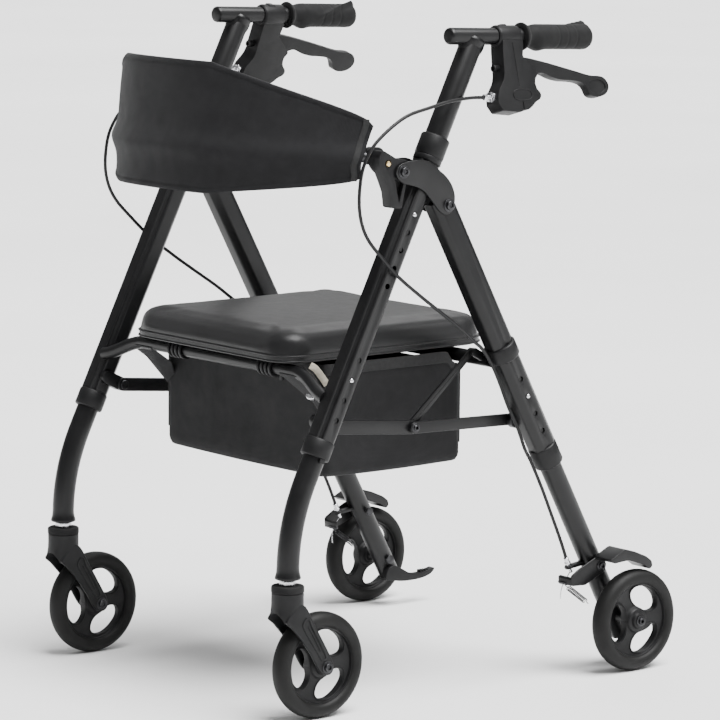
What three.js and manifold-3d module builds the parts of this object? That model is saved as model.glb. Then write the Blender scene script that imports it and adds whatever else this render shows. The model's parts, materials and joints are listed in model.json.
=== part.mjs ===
// Rollator walker: a folding four-wheeled walking frame with seat, bag, backrest and loop brakes.
// Millimetres, +Z up, -Y is the way the walker rolls, +X is the user's left.
// Side parts are drawn once for the left side and mirrored for the right.
import * as THREE from 'three';
import { mergeVertices } from 'three/addons/utils/BufferGeometryUtils.js';
import Module from 'manifold-3d';

const wasm = await Module();
wasm.setup();

// ---------------------------------------------------------------- driving dimensions
const CENTRE_SHIFT_Y = 288.474;        // moves the middle of the footprint to the origin
const SIDE_X = 271.5;                  // plane of the legs, from the middle
const GAP = 0.3;                       // clearance between parts that touch

const WHEEL_R = 76.2;                  // 6 inch wheels
const WHEEL_HALF_WIDTH = 15;
const WHEEL_BORE_R = 5.3;
const WINDOW_TURN = 1.08;              // angle of a wheel's first window from level, radians
const AXLE_R = 5;
const REAR_WHEEL_X = 314.5;

const HANDLE_TOP = [-290.6, 951.6];    // y, z where the upright's axis meets the handlebar
const FRONT_TILT = -0.45867;           // front leg and upright lean forward going down
const HANDLEBAR_R = 11.1;              // 7/8 inch handlebar
const HANDLEBAR_DROP = 0.042;          // slope of the handlebar, falling to the rear
const HANDLEBAR_FRONT_Y = -340;
const HANDLEBAR_REF_Y = -336.6;
const HANDLEBAR_REF_Z = 953.6;
const GRIP_FRONT_Y = -205;
const GRIP_REAR_Y = -75;

const UPRIGHT_HALF = [16.1, 16.7];     // oval telescoping tube: half width, half depth
const UPRIGHT_BOTTOM_S = 330;          // distances s run down the front axis from HANDLE_TOP
const FRONT_LEG_TOP_S = 165;
const FRONT_LEG_BOTTOM_S = 630;
const FRONT_LEG_HALF = [17.7, 18.3];
const FRONT_LEG_BORE_HALF = [16.5, 17.1];
const FRONT_LOWER_TOP_S = 480;
const HANDLE_HOLE_S = 273.8;
const HANDLE_HOLE_PITCH = 27.4;
const LEG_HOLE_PITCH = 30.3;
const FRONT_LEG_HOLE_S = 496;
const BUTTON_R = 3.4;
const HOLE_R = 4.3;

const FOLD_PIVOT = [-352, 716];        // y, z of the bolt that the rear leg swings on
const REAR_TILT = 0.503;               // rear leg leans back going down
const REAR_LEG_HALF = [18, 19.75];
const REAR_LEG_BORE_HALF = [16.5, 18.15];
const REAR_LEG_TOP_T = -10;            // distances t run down the rear axis from FOLD_PIVOT
const REAR_LEG_BOTTOM_T = 436;
const REAR_LOWER_TOP_T = 295;
const REAR_LOWER_BOTTOM_T = 764;
const REAR_LEG_HOLE_T = 299.6;
const LOWER_TUBE_R = 16.1;             // 1 1/4 inch lower tubes
const LOWER_TUBE_BORE_R = 14.5;

const CASTER_X = 271.3;
const CASTER_Y = -621.4;               // swivel axis
const FRONT_AXLE_Y = -567;
const CASTER_TOP_Z = 197;
const LOWER_LEG_END_Z = 206;

const SPREADER_FRONT = [-531, 408];    // y, z pivots of the folding side bars
const SPREADER_MIDDLE = [-374, 393];
const SPREADER_REAR = [-190, 388];
const LINK_TOP = [-258, 492];
const FRONT_BAR_X = [241.5, 246];
const REAR_BAR_X = [247, 251.5];
const LINK_X = [235.5, 239];

const CROSS_FRONT = [-537, 480];       // y, z of the front cross tube, which the seat turns on
const CROSS_FRONT_R = 9.5;
const CROSS_REAR = [-235, 479];
const CROSS_REAR_R = 10;

const SEAT_HALF_WIDTH = 187;
const SEAT_FRONT_Y = -565;
const SEAT_REAR_Y = -176;
const SEAT_BOTTOM_Z = 494;
const SEAT_TOP_Z = 541;
const SEAT_CORNER = 52;
const BAG_HALF_WIDTH = 187;
const BAG_FRONT_Y = -493;
const BAG_REAR_Y = -236;
const BAG_BOTTOM_Z = 323;
const BAG_TOP_Z = 488;
const BAG_REAR_TOP_Z = 467;             // the rear wall stays under the rear cross tube

const BACKREST_END = [262, -455, 785]; // where the backrest hoop meets its bracket
const BACKREST_DEPTH = 199;
const BACKREST_TILT = 0.078;
const BACKREST_TUBE_R = 8;
const BACKREST_BUTTON = [-461.5, 781];

const HOUSING_ROLL = 0.26878;          // brake housing hangs turned outward about the handlebar
const LEVER_PIVOT = [112, 58];         // along the handlebar and down, from the reference point
const BRAKE_PIVOT_T = 635.2;           // on the rear lower tube
const CABLE_R = 2.5;

// ---------------------------------------------------------------- colours and finishes
const FINISHES = {
  frame_black: { color: 0x232325, roughness: 0.38, metalness: 0.35 },
  grip_rubber: { color: 0x161617, roughness: 0.75, metalness: 0.0 },
  black_plastic: { color: 0x1b1b1d, roughness: 0.5, metalness: 0.0 },
  seat_vinyl: { color: 0x2c2d30, roughness: 0.45, metalness: 0.0 },
  backrest_fabric: { color: 0x1a1a1c, roughness: 0.8, metalness: 0.0 },
  bag_nylon: { color: 0x151516, roughness: 0.85, metalness: 0.0 },
  wheel_black: { color: 0x1c1c1d, roughness: 0.6, metalness: 0.0 },
  button_silver: { color: 0xd5d6d8, roughness: 0.25, metalness: 0.9 },
  button_brass: { color: 0xd0a860, roughness: 0.3, metalness: 0.9 },
  cable_black: { color: 0x141415, roughness: 0.5, metalness: 0.0 },
  steel_dark: { color: 0x2e2e30, roughness: 0.35, metalness: 0.7 },
};

const walker = new THREE.Group();
walker.position.y = CENTRE_SHIFT_Y;

function finish(slot) {
  return new THREE.MeshStandardMaterial(FINISHES[slot]);
}

// ---------------------------------------------------------------- solid helpers
function solid(geometry) {
  const bare = geometry.clone();
  bare.deleteAttribute('normal');
  bare.deleteAttribute('uv');
  const merged = mergeVertices(bare, 1e-4);
  return new wasm.Manifold(new wasm.Mesh({
    numProp: 3,
    vertProperties: new Float32Array(merged.attributes.position.array),
    triVerts: new Uint32Array(merged.index.array),
  }));
}

function geometryOf(manifold) {
  const mesh = manifold.getMesh();
  const geometry = new THREE.BufferGeometry();
  geometry.setAttribute('position', new THREE.BufferAttribute(new Float32Array(mesh.vertProperties), 3));
  geometry.setIndex(new THREE.BufferAttribute(new Uint32Array(mesh.triVerts), 1));
  geometry.computeVertexNormals();
  return geometry;
}

function build(base, added = [], removed = []) {
  let result = solid(base);
  for (const piece of added) result = result.add(solid(piece));
  for (const piece of removed) result = result.subtract(solid(piece));
  return geometryOf(result);
}

function mirrored(geometry) {
  const copy = geometry.index ? geometry.toNonIndexed() : geometry.clone();
  const position = copy.attributes.position;
  for (let i = 0; i < position.count; i += 3) {
    const corner = [0, 1, 2].map((k) => new THREE.Vector3().fromBufferAttribute(position, i + k));
    [0, 2, 1].forEach((from, k) => position.setXYZ(i + k, -corner[from].x, corner[from].y, corner[from].z));
  }
  copy.computeVertexNormals();
  return copy;
}

function addMesh(name, geometry, slot, place = {}) {
  const mesh = new THREE.Mesh(geometry, finish(slot));
  mesh.name = name;
  mesh.position.set(place.x ?? 0, place.y ?? 0, place.z ?? 0);
  mesh.rotation.x = place.tilt ?? 0;
  walker.add(mesh);
}

// A side part, drawn about the leg plane on the left, and its mirror image on the right.
function addPair(name, geometry, slot, place = {}) {
  const x = place.x ?? SIDE_X;
  addMesh(`${name}_left`, geometry, slot, { ...place, x });
  addMesh(`${name}_right`, mirrored(geometry), slot, { ...place, x: -x });
}

// ---------------------------------------------------------------- shape helpers
// Oval with flattened sides: half sizes along x and y, and where the flats cut it.
function oval([halfX, halfY], flatX = halfX, flatY = halfY, sides = 16) {
  const shape = new THREE.Shape();
  for (let i = 0; i < sides; i += 1) {
    const angle = ((i + 0.5) / sides) * Math.PI * 2;
    const x = THREE.MathUtils.clamp(halfX * Math.cos(angle), -flatX, flatX);
    const y = THREE.MathUtils.clamp(halfY * Math.sin(angle), -flatY, flatY);
    if (i === 0) shape.moveTo(x, y);
    else shape.lineTo(x, y);
  }
  return shape;
}

function circle(radius, sides = 14) {
  return oval([radius, radius], radius, radius, sides);
}

function polygon(points) {
  return new THREE.Shape(points.map(([x, y]) => new THREE.Vector2(x, y)));
}

// Outline of a bar with round ends between two points.
function barOutline(a, b, radiusA, radiusB = radiusA, sides = 6) {
  const heading = Math.atan2(b[1] - a[1], b[0] - a[0]);
  const points = [];
  for (let i = 0; i <= sides; i += 1) {
    const angle = heading + Math.PI / 2 + (Math.PI * i) / sides;
    points.push([a[0] + radiusA * Math.cos(angle), a[1] + radiusA * Math.sin(angle)]);
  }
  for (let i = 0; i <= sides; i += 1) {
    const angle = heading - Math.PI / 2 + (Math.PI * i) / sides;
    points.push([b[0] + radiusB * Math.cos(angle), b[1] + radiusB * Math.sin(angle)]);
  }
  return polygon(points);
}

function extrude(shape, depth, bevel = 0) {
  return new THREE.ExtrudeGeometry(shape, {
    depth: depth - 2 * bevel,
    bevelEnabled: bevel > 0,
    bevelThickness: bevel,
    bevelSize: bevel,
    bevelOffset: -bevel,
    bevelSegments: 1,
    curveSegments: 5,
  }).translate(0, 0, bevel);
}

// Prism of a shape in the local x-y plane, from z = from to z = to.
function prism(shape, from, to, bevel = 0) {
  return extrude(shape, to - from, bevel).translate(0, 0, from);
}

// Plate whose outline is given as (y, z), standing across x from x0 to x1.
function plate(outline, x0, x1, bevel = 0) {
  const turn = new THREE.Matrix4().set(0, 0, 1, 0, 1, 0, 0, 0, 0, 1, 0, 0, 0, 0, 0, 1);
  return prism(outline, x0, x1, bevel).applyMatrix4(turn);
}

// Round bar along x, centred on (y, z).
function pinX([y, z], radius, x0, x1, sides = 10) {
  return plate(circle(radius, sides), x0, x1).translate(0, y, z);
}

// Round bar between two points.
function rod(from, to, radius, sides = 8) {
  const a = new THREE.Vector3(...from);
  const b = new THREE.Vector3(...to);
  const turn = new THREE.Quaternion().setFromUnitVectors(
    new THREE.Vector3(0, 1, 0),
    b.clone().sub(a).normalize(),
  );
  return new THREE.CylinderGeometry(radius, radius, a.distanceTo(b), sides)
    .applyQuaternion(turn)
    .translate(...a.add(b).multiplyScalar(0.5).toArray());
}

// Tube or cord along a curve.
function sweep(shape, curve, steps) {
  return new THREE.ExtrudeGeometry(shape, { steps, extrudePath: curve, bevelEnabled: false });
}

function smoothCurve(points) {
  return new THREE.CatmullRomCurve3(points.map((p) => new THREE.Vector3(...p)), false, 'centripetal');
}

// Closed skin over a row of rings that all have the same number of points.
function loft(rings) {
  const count = rings[0].length;
  const positions = rings.flat(2);
  const index = [];
  for (let r = 0; r + 1 < rings.length; r += 1) {
    for (let i = 0; i < count; i += 1) {
      const j = (i + 1) % count;
      const a = r * count + i;
      const b = r * count + j;
      index.push(a, b, a + count, b, b + count, a + count);
    }
  }
  const last = (rings.length - 1) * count;
  for (let i = 1; i + 1 < count; i += 1) {
    index.push(0, i + 1, i);
    index.push(last, last + i, last + i + 1);
  }
  const geometry = new THREE.BufferGeometry();
  geometry.setAttribute('position', new THREE.BufferAttribute(new Float32Array(positions), 3));
  geometry.setIndex(index);
  geometry.computeVertexNormals();
  return geometry;
}

// Moves a piece drawn in walker coordinates (left side) into the frame of a tilted leg axis.
function intoLegFrame(geometry, [y, z], tilt) {
  return geometry.translate(-SIDE_X, -y, -z).rotateX(-tilt);
}

function intoFrontLeg(geometry) {
  return intoLegFrame(geometry, HANDLE_TOP, FRONT_TILT);
}

function intoRearLeg(geometry) {
  return intoLegFrame(geometry, FOLD_PIVOT, REAR_TILT);
}

// Point (y, z) at a distance down a tilted axis.
function alongAxis([y, z], tilt, distance) {
  return [y + distance * Math.sin(tilt), z - distance * Math.cos(tilt)];
}

const FRONT_AXIS_PLACE = { y: HANDLE_TOP[0], z: HANDLE_TOP[1], tilt: FRONT_TILT };
const REAR_AXIS_PLACE = { y: FOLD_PIVOT[0], z: FOLD_PIVOT[1], tilt: REAR_TILT };

// Row of button holes through the outer wall of a leg.
function buttonHoles(first, pitch, count) {
  return Array.from({ length: count }, (_, k) => pinX([0, -(first + k * pitch)], HOLE_R, 12, 22, 6));
}

// Spring button: a round-nosed peg standing through the outer wall, on a base inside the tube.
function snapButton(distance, base, tip) {
  return build(pinX([0, -distance], BUTTON_R, base, tip, 8), [pinX([0, -distance], 5.5, base, base + 2, 8)]);
}

// Plastic collar over the end of a leg: wide bore over the leg, narrow bore round the inner tube.
function collar(top, bottom, radius, legHalf, legFrom, legTo, narrowR) {
  const clear = [legHalf[0] + GAP, legHalf[1] + GAP];
  return build(
    prism(circle(radius, 16), -bottom, -top),
    [],
    [prism(oval(clear), -legTo, -legFrom), prism(circle(narrowR), -bottom - 1, -top + 1)],
  );
}

// ---------------------------------------------------------------- handles
function handleUpright() {
  const slope = Math.atan(HANDLEBAR_DROP);
  const middleY = (HANDLEBAR_FRONT_Y + GRIP_REAR_Y - 6) / 2;
  const length = GRIP_REAR_Y - 6 - HANDLEBAR_FRONT_Y;
  const barZ = HANDLEBAR_REF_Z - HANDLEBAR_DROP * (middleY - HANDLEBAR_REF_Y);
  const lay = (geometry) => intoFrontLeg(geometry.rotateX(slope * -1).translate(SIDE_X, middleY, barZ));
  const profile = [[0, -length / 2], [7, -length / 2], [10, -length / 2 + 2], [HANDLEBAR_R, -length / 2 + 5],
    [HANDLEBAR_R, length / 2], [0, length / 2]].map(([r, along]) => new THREE.Vector2(r, along));
  const bar = lay(new THREE.LatheGeometry(profile, 14));
  const barBore = lay(new THREE.CylinderGeometry(9.5, 9.5, length, 14).translate(0, 4, 0));
  const tube = prism(oval(UPRIGHT_HALF), -UPRIGHT_BOTTOM_S, 0);
  const tubeBore = prism(oval([UPRIGHT_HALF[0] - 1.6, UPRIGHT_HALF[1] - 1.6]), -UPRIGHT_BOTTOM_S - 1, -9);
  const hole = pinX([0, -HANDLE_HOLE_S], HOLE_R, 12, 20, 6);
  return build(tube, [bar], [tubeBore, barBore, hole]);
}

function grip() {
  const length = GRIP_REAR_Y - GRIP_FRONT_Y;
  const bore = HANDLEBAR_R + 2 * GAP;
  const outline = [[bore, 0], [20, 0], [20, 4], [17, 7], [16.2, 24], [17.2, 52], [17, length - 6],
    [13, length], [0, length], [0, length - 5], [bore, length - 5], [bore, 0]];
  const profile = outline.map(([r, along]) => new THREE.Vector2(r, along));
  return new THREE.LatheGeometry(profile, 14).rotateX(-Math.atan(HANDLEBAR_DROP));
}

// Maps a piece drawn in the brake's own frame (x along the bar, y down, z inward) to the handlebar.
function ontoHandlebar(geometry) {
  const along = new THREE.Vector3(0, 1, -HANDLEBAR_DROP).normalize();
  const down = new THREE.Vector3(0, -HANDLEBAR_DROP, -1).normalize();
  const inward = new THREE.Vector3(-1, 0, 0);
  down.applyAxisAngle(along, -HOUSING_ROLL);
  inward.applyAxisAngle(along, -HOUSING_ROLL);
  return geometry.applyMatrix4(new THREE.Matrix4().makeBasis(along, down, inward));
}

function brakeHousing() {
  const outline = [[82, -5], [84, 21], [82, 42], [81, 56.5], [78, 68], [68, 80], [63, 94], [72, 109],
    [103.4, 112], [118, 108], [134, 97.5], [146.5, 92], [137.5, 78], [137.7, 65.6], [144.4, 57.6],
    [120, 31.8], [123, 17.7], [125, -5]];
  const body = prism(polygon(outline), -15, 12);
  const clamp = new THREE.CylinderGeometry(15.5, 15.5, 41, 14).rotateZ(Math.PI / 2).translate(103.5, 0, 0);
  const adjuster = new THREE.CylinderGeometry(4.5, 4.5, 32, 8).rotateZ(Math.PI / 2).translate(64, 88.6, -1.5);
  const peg = new THREE.CylinderGeometry(6.8, 6.8, 12, 10).rotateZ(Math.PI / 2).translate(80, 47, -1.5);
  const bore = new THREE.CylinderGeometry(HANDLEBAR_R + 2 * GAP, HANDLEBAR_R + 2 * GAP, 80, 14)
    .rotateZ(Math.PI / 2).translate(103.5, 0, 0);
  const slot = prism(polygon([[94, 25], [94, 92], [160, 92], [160, 25]]), -9.5, 6.5);
  const wireBore = new THREE.CylinderGeometry(1.5, 1.5, 70, 6).rotateZ(Math.PI / 2).translate(70, 88.6, -1.5);
  const axle = new THREE.CylinderGeometry(3.5, 3.5, 26, 8).rotateX(Math.PI / 2)
    .translate(LEVER_PIVOT[0], LEVER_PIVOT[1], -1.5);
  const whole = build(body, [clamp, adjuster, peg], [bore, slot, wireBore]);
  return ontoHandlebar(build(whole, [axle]));
}

function brakeLever() {
  const upper = [[104, 50], [109, 46], [118, 39], [130, 31], [158, 36.5], [180, 41.6], [223, 51.6], [254, 59],
    [276, 60.6], [285, 71]];
  const lower = [[276, 84], [256, 90], [245, 87.4], [242, 76.6], [232, 68.5], [216, 65.7], [195, 64.7],
    [177, 61], [162, 54.8], [153, 56], [140, 62], [124, 70], [112, 71], [103, 66]];
  const blade = prism(polygon([...upper, ...lower]), -8, 5, 2.5);
  const hole = new THREE.CylinderGeometry(4.1, 4.1, 20, 8).rotateX(Math.PI / 2)
    .translate(LEVER_PIVOT[0], LEVER_PIVOT[1], -1.5);
  return ontoHandlebar(build(blade, [], [hole]));
}

// ---------------------------------------------------------------- front legs
function frontLeg() {
  const tube = prism(oval(FRONT_LEG_HALF, 17.2, 17.9), -FRONT_LEG_BOTTOM_S, -FRONT_LEG_TOP_S);
  const bore = prism(oval(FRONT_LEG_BORE_HALF), -FRONT_LEG_BOTTOM_S - 1, -FRONT_LEG_TOP_S + 1);
  const root = [-556, 420];
  const lug = intoFrontLeg(plate(barOutline(SPREADER_FRONT, root, 10), FRONT_BAR_X[1] + GAP, 264));
  const pin = intoFrontLeg(pinX(SPREADER_FRONT, 3.6, FRONT_BAR_X[0] - 2, 256, 8));
  const head = intoFrontLeg(pinX(SPREADER_FRONT, 7, FRONT_BAR_X[0] - 3.5, FRONT_BAR_X[0] - GAP, 8));
  const holes = [
    ...buttonHoles(HANDLE_HOLE_S, HANDLE_HOLE_PITCH, 5),
    ...buttonHoles(FRONT_LEG_HOLE_S, LEG_HOLE_PITCH, 4),
  ];
  return build(tube, [lug, pin, head], [bore, ...holes]);
}

// Round bar along a middle line of (y, z) points, with a ring square to the line at each point.
function bentBar(points, radius, sides = 16) {
  const rings = points.map(([y, z], i) => {
    const [beforeY, beforeZ] = points[Math.max(0, i - 1)];
    const [afterY, afterZ] = points[Math.min(points.length - 1, i + 1)];
    const heading = Math.atan2(afterZ - beforeZ, afterY - beforeY);
    return Array.from({ length: sides }, (_, k) => {
      const angle = ((k + 0.5) / sides) * Math.PI * 2;
      const out = radius * Math.sin(angle);
      return [radius * Math.cos(angle), y + out * Math.sin(heading), z - out * Math.cos(heading)];
    });
  });
  return loft(rings);
}

// Middle line of the lower front tube: down the leg axis, then bent upright over the caster.
function lowerLegLine(extra) {
  const cornerS = (CASTER_Y - HANDLE_TOP[0]) / Math.sin(FRONT_TILT);
  const start = alongAxis(HANDLE_TOP, FRONT_TILT, cornerS - 70);
  const corner = alongAxis(HANDLE_TOP, FRONT_TILT, cornerS);
  const end = [CASTER_Y, 216];
  const line = [alongAxis(HANDLE_TOP, FRONT_TILT, FRONT_LOWER_TOP_S - extra)];
  const bendSteps = 6;
  for (let i = 0; i <= bendSteps; i += 1) {
    const u = i / bendSteps;
    line.push([0, 1].map((k) => (1 - u) ** 2 * start[k] + 2 * u * (1 - u) * corner[k] + u * u * end[k]));
  }
  line.push([CASTER_Y, LOWER_LEG_END_Z - extra]);
  return line;
}

function frontLowerLeg() {
  const outer = bentBar(lowerLegLine(0), LOWER_TUBE_R);
  const inner = bentBar(lowerLegLine(1), LOWER_TUBE_BORE_R);
  const upright = (radiusTop, radiusBottom, from, to, sides = 16) =>
    new THREE.CylinderGeometry(radiusTop, radiusBottom, to - from, sides)
      .rotateX(Math.PI / 2).translate(0, CASTER_Y, (from + to) / 2);
  const flare = upright(16.6, 18, LOWER_LEG_END_Z, LOWER_LEG_END_Z + 10);
  const plug = upright(15.5, 15.5, LOWER_LEG_END_Z, LOWER_LEG_END_Z + 22);
  const stemBore = upright(6.3, 6.3, LOWER_LEG_END_Z - 5, LOWER_LEG_END_Z + 45, 12);
  const button = alongAxis(HANDLE_TOP, FRONT_TILT, FRONT_LEG_HOLE_S + LEG_HOLE_PITCH);
  const hollow = build(outer, [], [inner]);
  return build(hollow, [flare, plug], [stemBore, pinX(button, HOLE_R, 12, 20, 6)]);
}

// ---------------------------------------------------------------- hinge and backrest
function hingePlate() {
  const outline = polygon([[-450, 768], [-446, 776], [-436, 781], [-418, 783], [-397.5, 783], [-382, 776.5],
    [-370, 767], [-357, 757], [-347, 745], [-341.5, 732], [-341, 721], [-343.5, 711], [-350, 704.5],
    [-358, 703], [-368, 708], [-378, 718], [-388, 729], [-397, 738], [-410, 745], [-424.5, 749],
    [-437, 752.5], [-446, 759]]);
  const bolt = [-436.5, 768.5];
  const outer = plate(outline, 289.9, 293.4);
  const inner = plate(outline, 249.6, 253.2);
  const pieces = [inner];
  for (const at of [bolt, FOLD_PIVOT]) {
    pieces.push(pinX(at, 4.7, 246.5, 297));
    pieces.push(pinX(at, 8.5, 293, 298.5));
    pieces.push(pinX(at, 8, 245, 249.8, 6));
  }
  const sockets = [bolt, FOLD_PIVOT].map((at) => pinX(at, 3, 295.5, 300, 6));
  return build(outer, pieces, sockets).translate(-SIDE_X, 0, 0);
}

function backrestBracket() {
  const axis = [-462.7, 789];
  const outline = polygon([[-471, 800.5], [-446, 787], [-427.5, 785], [-424, 778], [-426, 760], [-431, 740],
    [-436, 716], [-456, 718], [-459, 740], [-467, 758], [-476.5, 777], [-478, 792]]);
  const pocket = polygon([[-447, 757], [-433, 752], [-440, 726]]);
  const body = plate(outline, 270, 289.3, 1.5);
  const sleeve = pinX(axis, 13.5, 253.5, 271, 16);
  const legRoom = prism(oval([FRONT_LEG_HALF[0] + GAP, FRONT_LEG_HALF[1] + GAP]), -700, -100)
    .rotateX(FRONT_TILT).translate(SIDE_X, HANDLE_TOP[0], HANDLE_TOP[1]);
  const socket = hoop(BACKREST_TUBE_R + 0.8);
  const buttonHole = pinX(BACKREST_BUTTON, 4.6, 282, 292, 16);
  const boltHole = pinX([-436.5, 768.5], 5, 250, 292, 16);
  const cuts = [plate(pocket, 250, 292), legRoom, socket, buttonHole, boltHole];
  return build(body, [sleeve], cuts).translate(-SIDE_X, 0, 0);
}

// Middle line of the backrest in plan: a flat-topped bow toward the front.
function backrestPoint(x, rise = 0, forward = 0) {
  const bow = BACKREST_DEPTH * (1 - Math.abs(x / BACKREST_END[0]) ** 2.5) + forward;
  const c = Math.cos(BACKREST_TILT);
  const s = Math.sin(BACKREST_TILT);
  return [x, BACKREST_END[1] - bow * c + rise * s, BACKREST_END[2] + bow * s + rise * c];
}

function backrestNormal(x) {
  const slope = 2.5 * BACKREST_DEPTH * (Math.abs(x) ** 1.5 / BACKREST_END[0] ** 2.5) * Math.sign(x);
  const length = Math.hypot(1, slope);
  return [slope / length, 1 / length];
}

// Ring of the padded strap at a station x: thin at its edges and thick over the hoop.
function backrestRing(x) {
  const reach = Math.min(1, (BACKREST_END[0] - 14 - Math.abs(x)) / 150);
  const ease = Math.max(0, reach) ** 0.6;
  const top = 46 + 73.5 * ease;
  const bottom = -29 - 36.9 * ease;
  const section = [[top, 3], [top * 0.5, 8], [14, 12.5], [-14, 12.5], [bottom * 0.5, 8], [bottom, 3]];
  const [across, ahead] = backrestNormal(x);
  const side = (sign) => section.map(([rise, thick]) => {
    const offset = sign * thick;
    const [, y, z] = backrestPoint(x, rise, offset * ahead);
    return [x + offset * across, y, z];
  });
  return [...side(1), ...side(-1).reverse()];
}

function backrestStrap() {
  const stations = 20;
  const rings = [];
  for (let i = 0; i <= stations; i += 1) {
    const along = (i / stations) * 2 - 1;
    rings.push(backrestRing(Math.sign(along) * (BACKREST_END[0] - 14) * Math.abs(along) ** 0.8));
  }
  const body = loft(rings);
  return build(body, [], [hoop(BACKREST_TUBE_R + 0.8)]);
}

// Backrest hoop: bowed like the strap, with straight ends that plug into the brackets.
function hoop(radius) {
  const points = [];
  for (let i = 0; i <= 40; i += 1) {
    const along = (i / 40) * 2 - 1;
    const x = Math.sign(along) * 243 * Math.abs(along) ** 0.8;
    points.push(backrestPoint(x));
  }
  const end = (x) => [x, -462.7, 789];
  return sweep(circle(radius, 8), smoothCurve([end(-279), end(-258), ...points, end(258), end(279)]), 28);
}

// ---------------------------------------------------------------- rear legs
function rearLeg() {
  const tube = prism(oval(REAR_LEG_HALF, 17.6, 18.9), -REAR_LEG_BOTTOM_T, -REAR_LEG_TOP_T);
  const bore = prism(oval(REAR_LEG_BORE_HALF), -REAR_LEG_BOTTOM_T - 1, -REAR_LEG_TOP_T + 1);
  const boss = intoRearLeg(pinX(SPREADER_REAR, 12, REAR_BAR_X[1] + GAP, 262, 12));
  const pin = intoRearLeg(pinX(SPREADER_REAR, 3.6, REAR_BAR_X[0] - 1, 262, 8));
  const head = intoRearLeg(pinX(SPREADER_REAR, 6.5, REAR_BAR_X[0] - 3, REAR_BAR_X[0] - GAP, 8));
  const pivot = pinX([0, 0], 5, -22, 22, 16);
  return build(tube, [boss, pin, head], [bore, pivot, ...buttonHoles(REAR_LEG_HOLE_T, LEG_HOLE_PITCH, 4)]);
}

// Lower tube with its axle, brake pivot, cable barrel and the tipping pedal at its foot.
function rearLowerLeg() {
  const down = (t) => [0, -t];
  const tube = prism(circle(LOWER_TUBE_R), -REAR_LOWER_BOTTOM_T, -REAR_LOWER_TOP_T);
  const bore = prism(circle(LOWER_TUBE_BORE_R), -REAR_LOWER_BOTTOM_T + 6, -REAR_LOWER_TOP_T + 1);
  const drain = prism(circle(4, 12), -REAR_LOWER_BOTTOM_T - 1, -REAR_LOWER_BOTTOM_T + 8);
  const button = pinX(down(REAR_LEG_HOLE_T + LEG_HOLE_PITCH), HOLE_R, 12, 20, 6);
  const axle = [0, WHEEL_R];
  const added = [
    pinX(axle, AXLE_R, 252, 334),
    pinX(axle, 9, 286, 297.5),
    pinX(axle, 8, 331.3, 336, 6),
    pinX(axle, 8, 251, 256.5, 6),
    rod([SIDE_X, -98, 174], [SIDE_X, -88, 153], 3.5, 12),
    plate(barOutline([-93, 163.5], [-58, 163.5], 3), SIDE_X - 6, SIDE_X + 6),
    plate(pedalOutline(), 249, 261),
  ].map(intoRearLeg);
  const pivot = [
    pinX(down(BRAKE_PIVOT_T), 4, -24, 24, 12),
    pinX(down(BRAKE_PIVOT_T), 7, 20.6, 24, 6),
    pinX(down(BRAKE_PIVOT_T), 7, -24, -20.6, 6),
  ];
  const shell = build(tube, [], [bore, drain, button]);
  return build(shell, [...added, ...pivot]);
}

function pedalOutline() {
  return polygon([[-10, 44], [6, 41], [30, 38], [60, 38.5], [80, 43], [90, 50.5], [88, 54], [76, 50],
    [58, 47.5], [40, 50], [23, 59], [8, 66], [-6, 62]]);
}

function brakeArm() {
  const [pivotY, pivotZ] = alongAxis(FOLD_PIVOT, REAR_TILT, BRAKE_PIVOT_T);
  const cheek = polygon([[-104, 150], [-89, 159], [-56, 173], [-40, 172], [-34, 160], [-38, 150],
    [-76, 133.5], [-103, 135]]);
  const shoe = polygon([[-56, 173], [-29, 187.5], [18, 167], [27, 161], [24, 155.5], [12, 159.5], [-22, 170],
    [-50, 170]]);
  const tab = polygon([[-104, 146], [-100, 148.4], [-99, 135], [-103, 135]]);
  return build(
    plate(cheek, 288.5, 291.5),
    [plate(tab, 262, 291), plate(shoe, 288.5, 326)],
    [pinX([pivotY, pivotZ], 4.4, 245, 300, 12)],
  ).translate(-SIDE_X, 0, 0);
}

// ---------------------------------------------------------------- wheels and casters
// Tyre, dished rim and hub in one turned shape, with three kidney windows.
function wheel() {
  const w = WHEEL_HALF_WIDTH;
  const r = WHEEL_R;
  const half = [[21, 6], [49, 5], [54, w - 2], [70, w - 1], [r, w - 7]];
  const outline = [[WHEEL_BORE_R, w + 1], [14, w + 1], ...half,
    ...half.map(([radius, x]) => [radius, -x]).reverse(), [14, -w - 1], [WHEEL_BORE_R, -w - 1],
    [WHEEL_BORE_R, w + 1]];
  const profile = outline.map(([radius, x]) => new THREE.Vector2(radius, x)).reverse();
  const body = new THREE.LatheGeometry(profile, 24).rotateZ(Math.PI / 2);
  const windows = [0, 1, 2].map((k) => {
    const shape = new THREE.Shape();
    const start = (k * Math.PI * 2) / 3 + WINDOW_TURN - 0.66;
    const points = [];
    for (let i = 0; i <= 4; i += 1) points.push([start + (1.32 * i) / 4, 47]);
    for (let i = 4; i >= 0; i -= 1) points.push([start + (1.32 * i) / 4, 26]);
    const corners = points.map(([a, radius]) => new THREE.Vector2(radius * Math.cos(a), radius * Math.sin(a)));
    shape.setFromPoints(corners);
    return plate(shape, -20, 20);
  });
  return build(body, [], windows);
}

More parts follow.
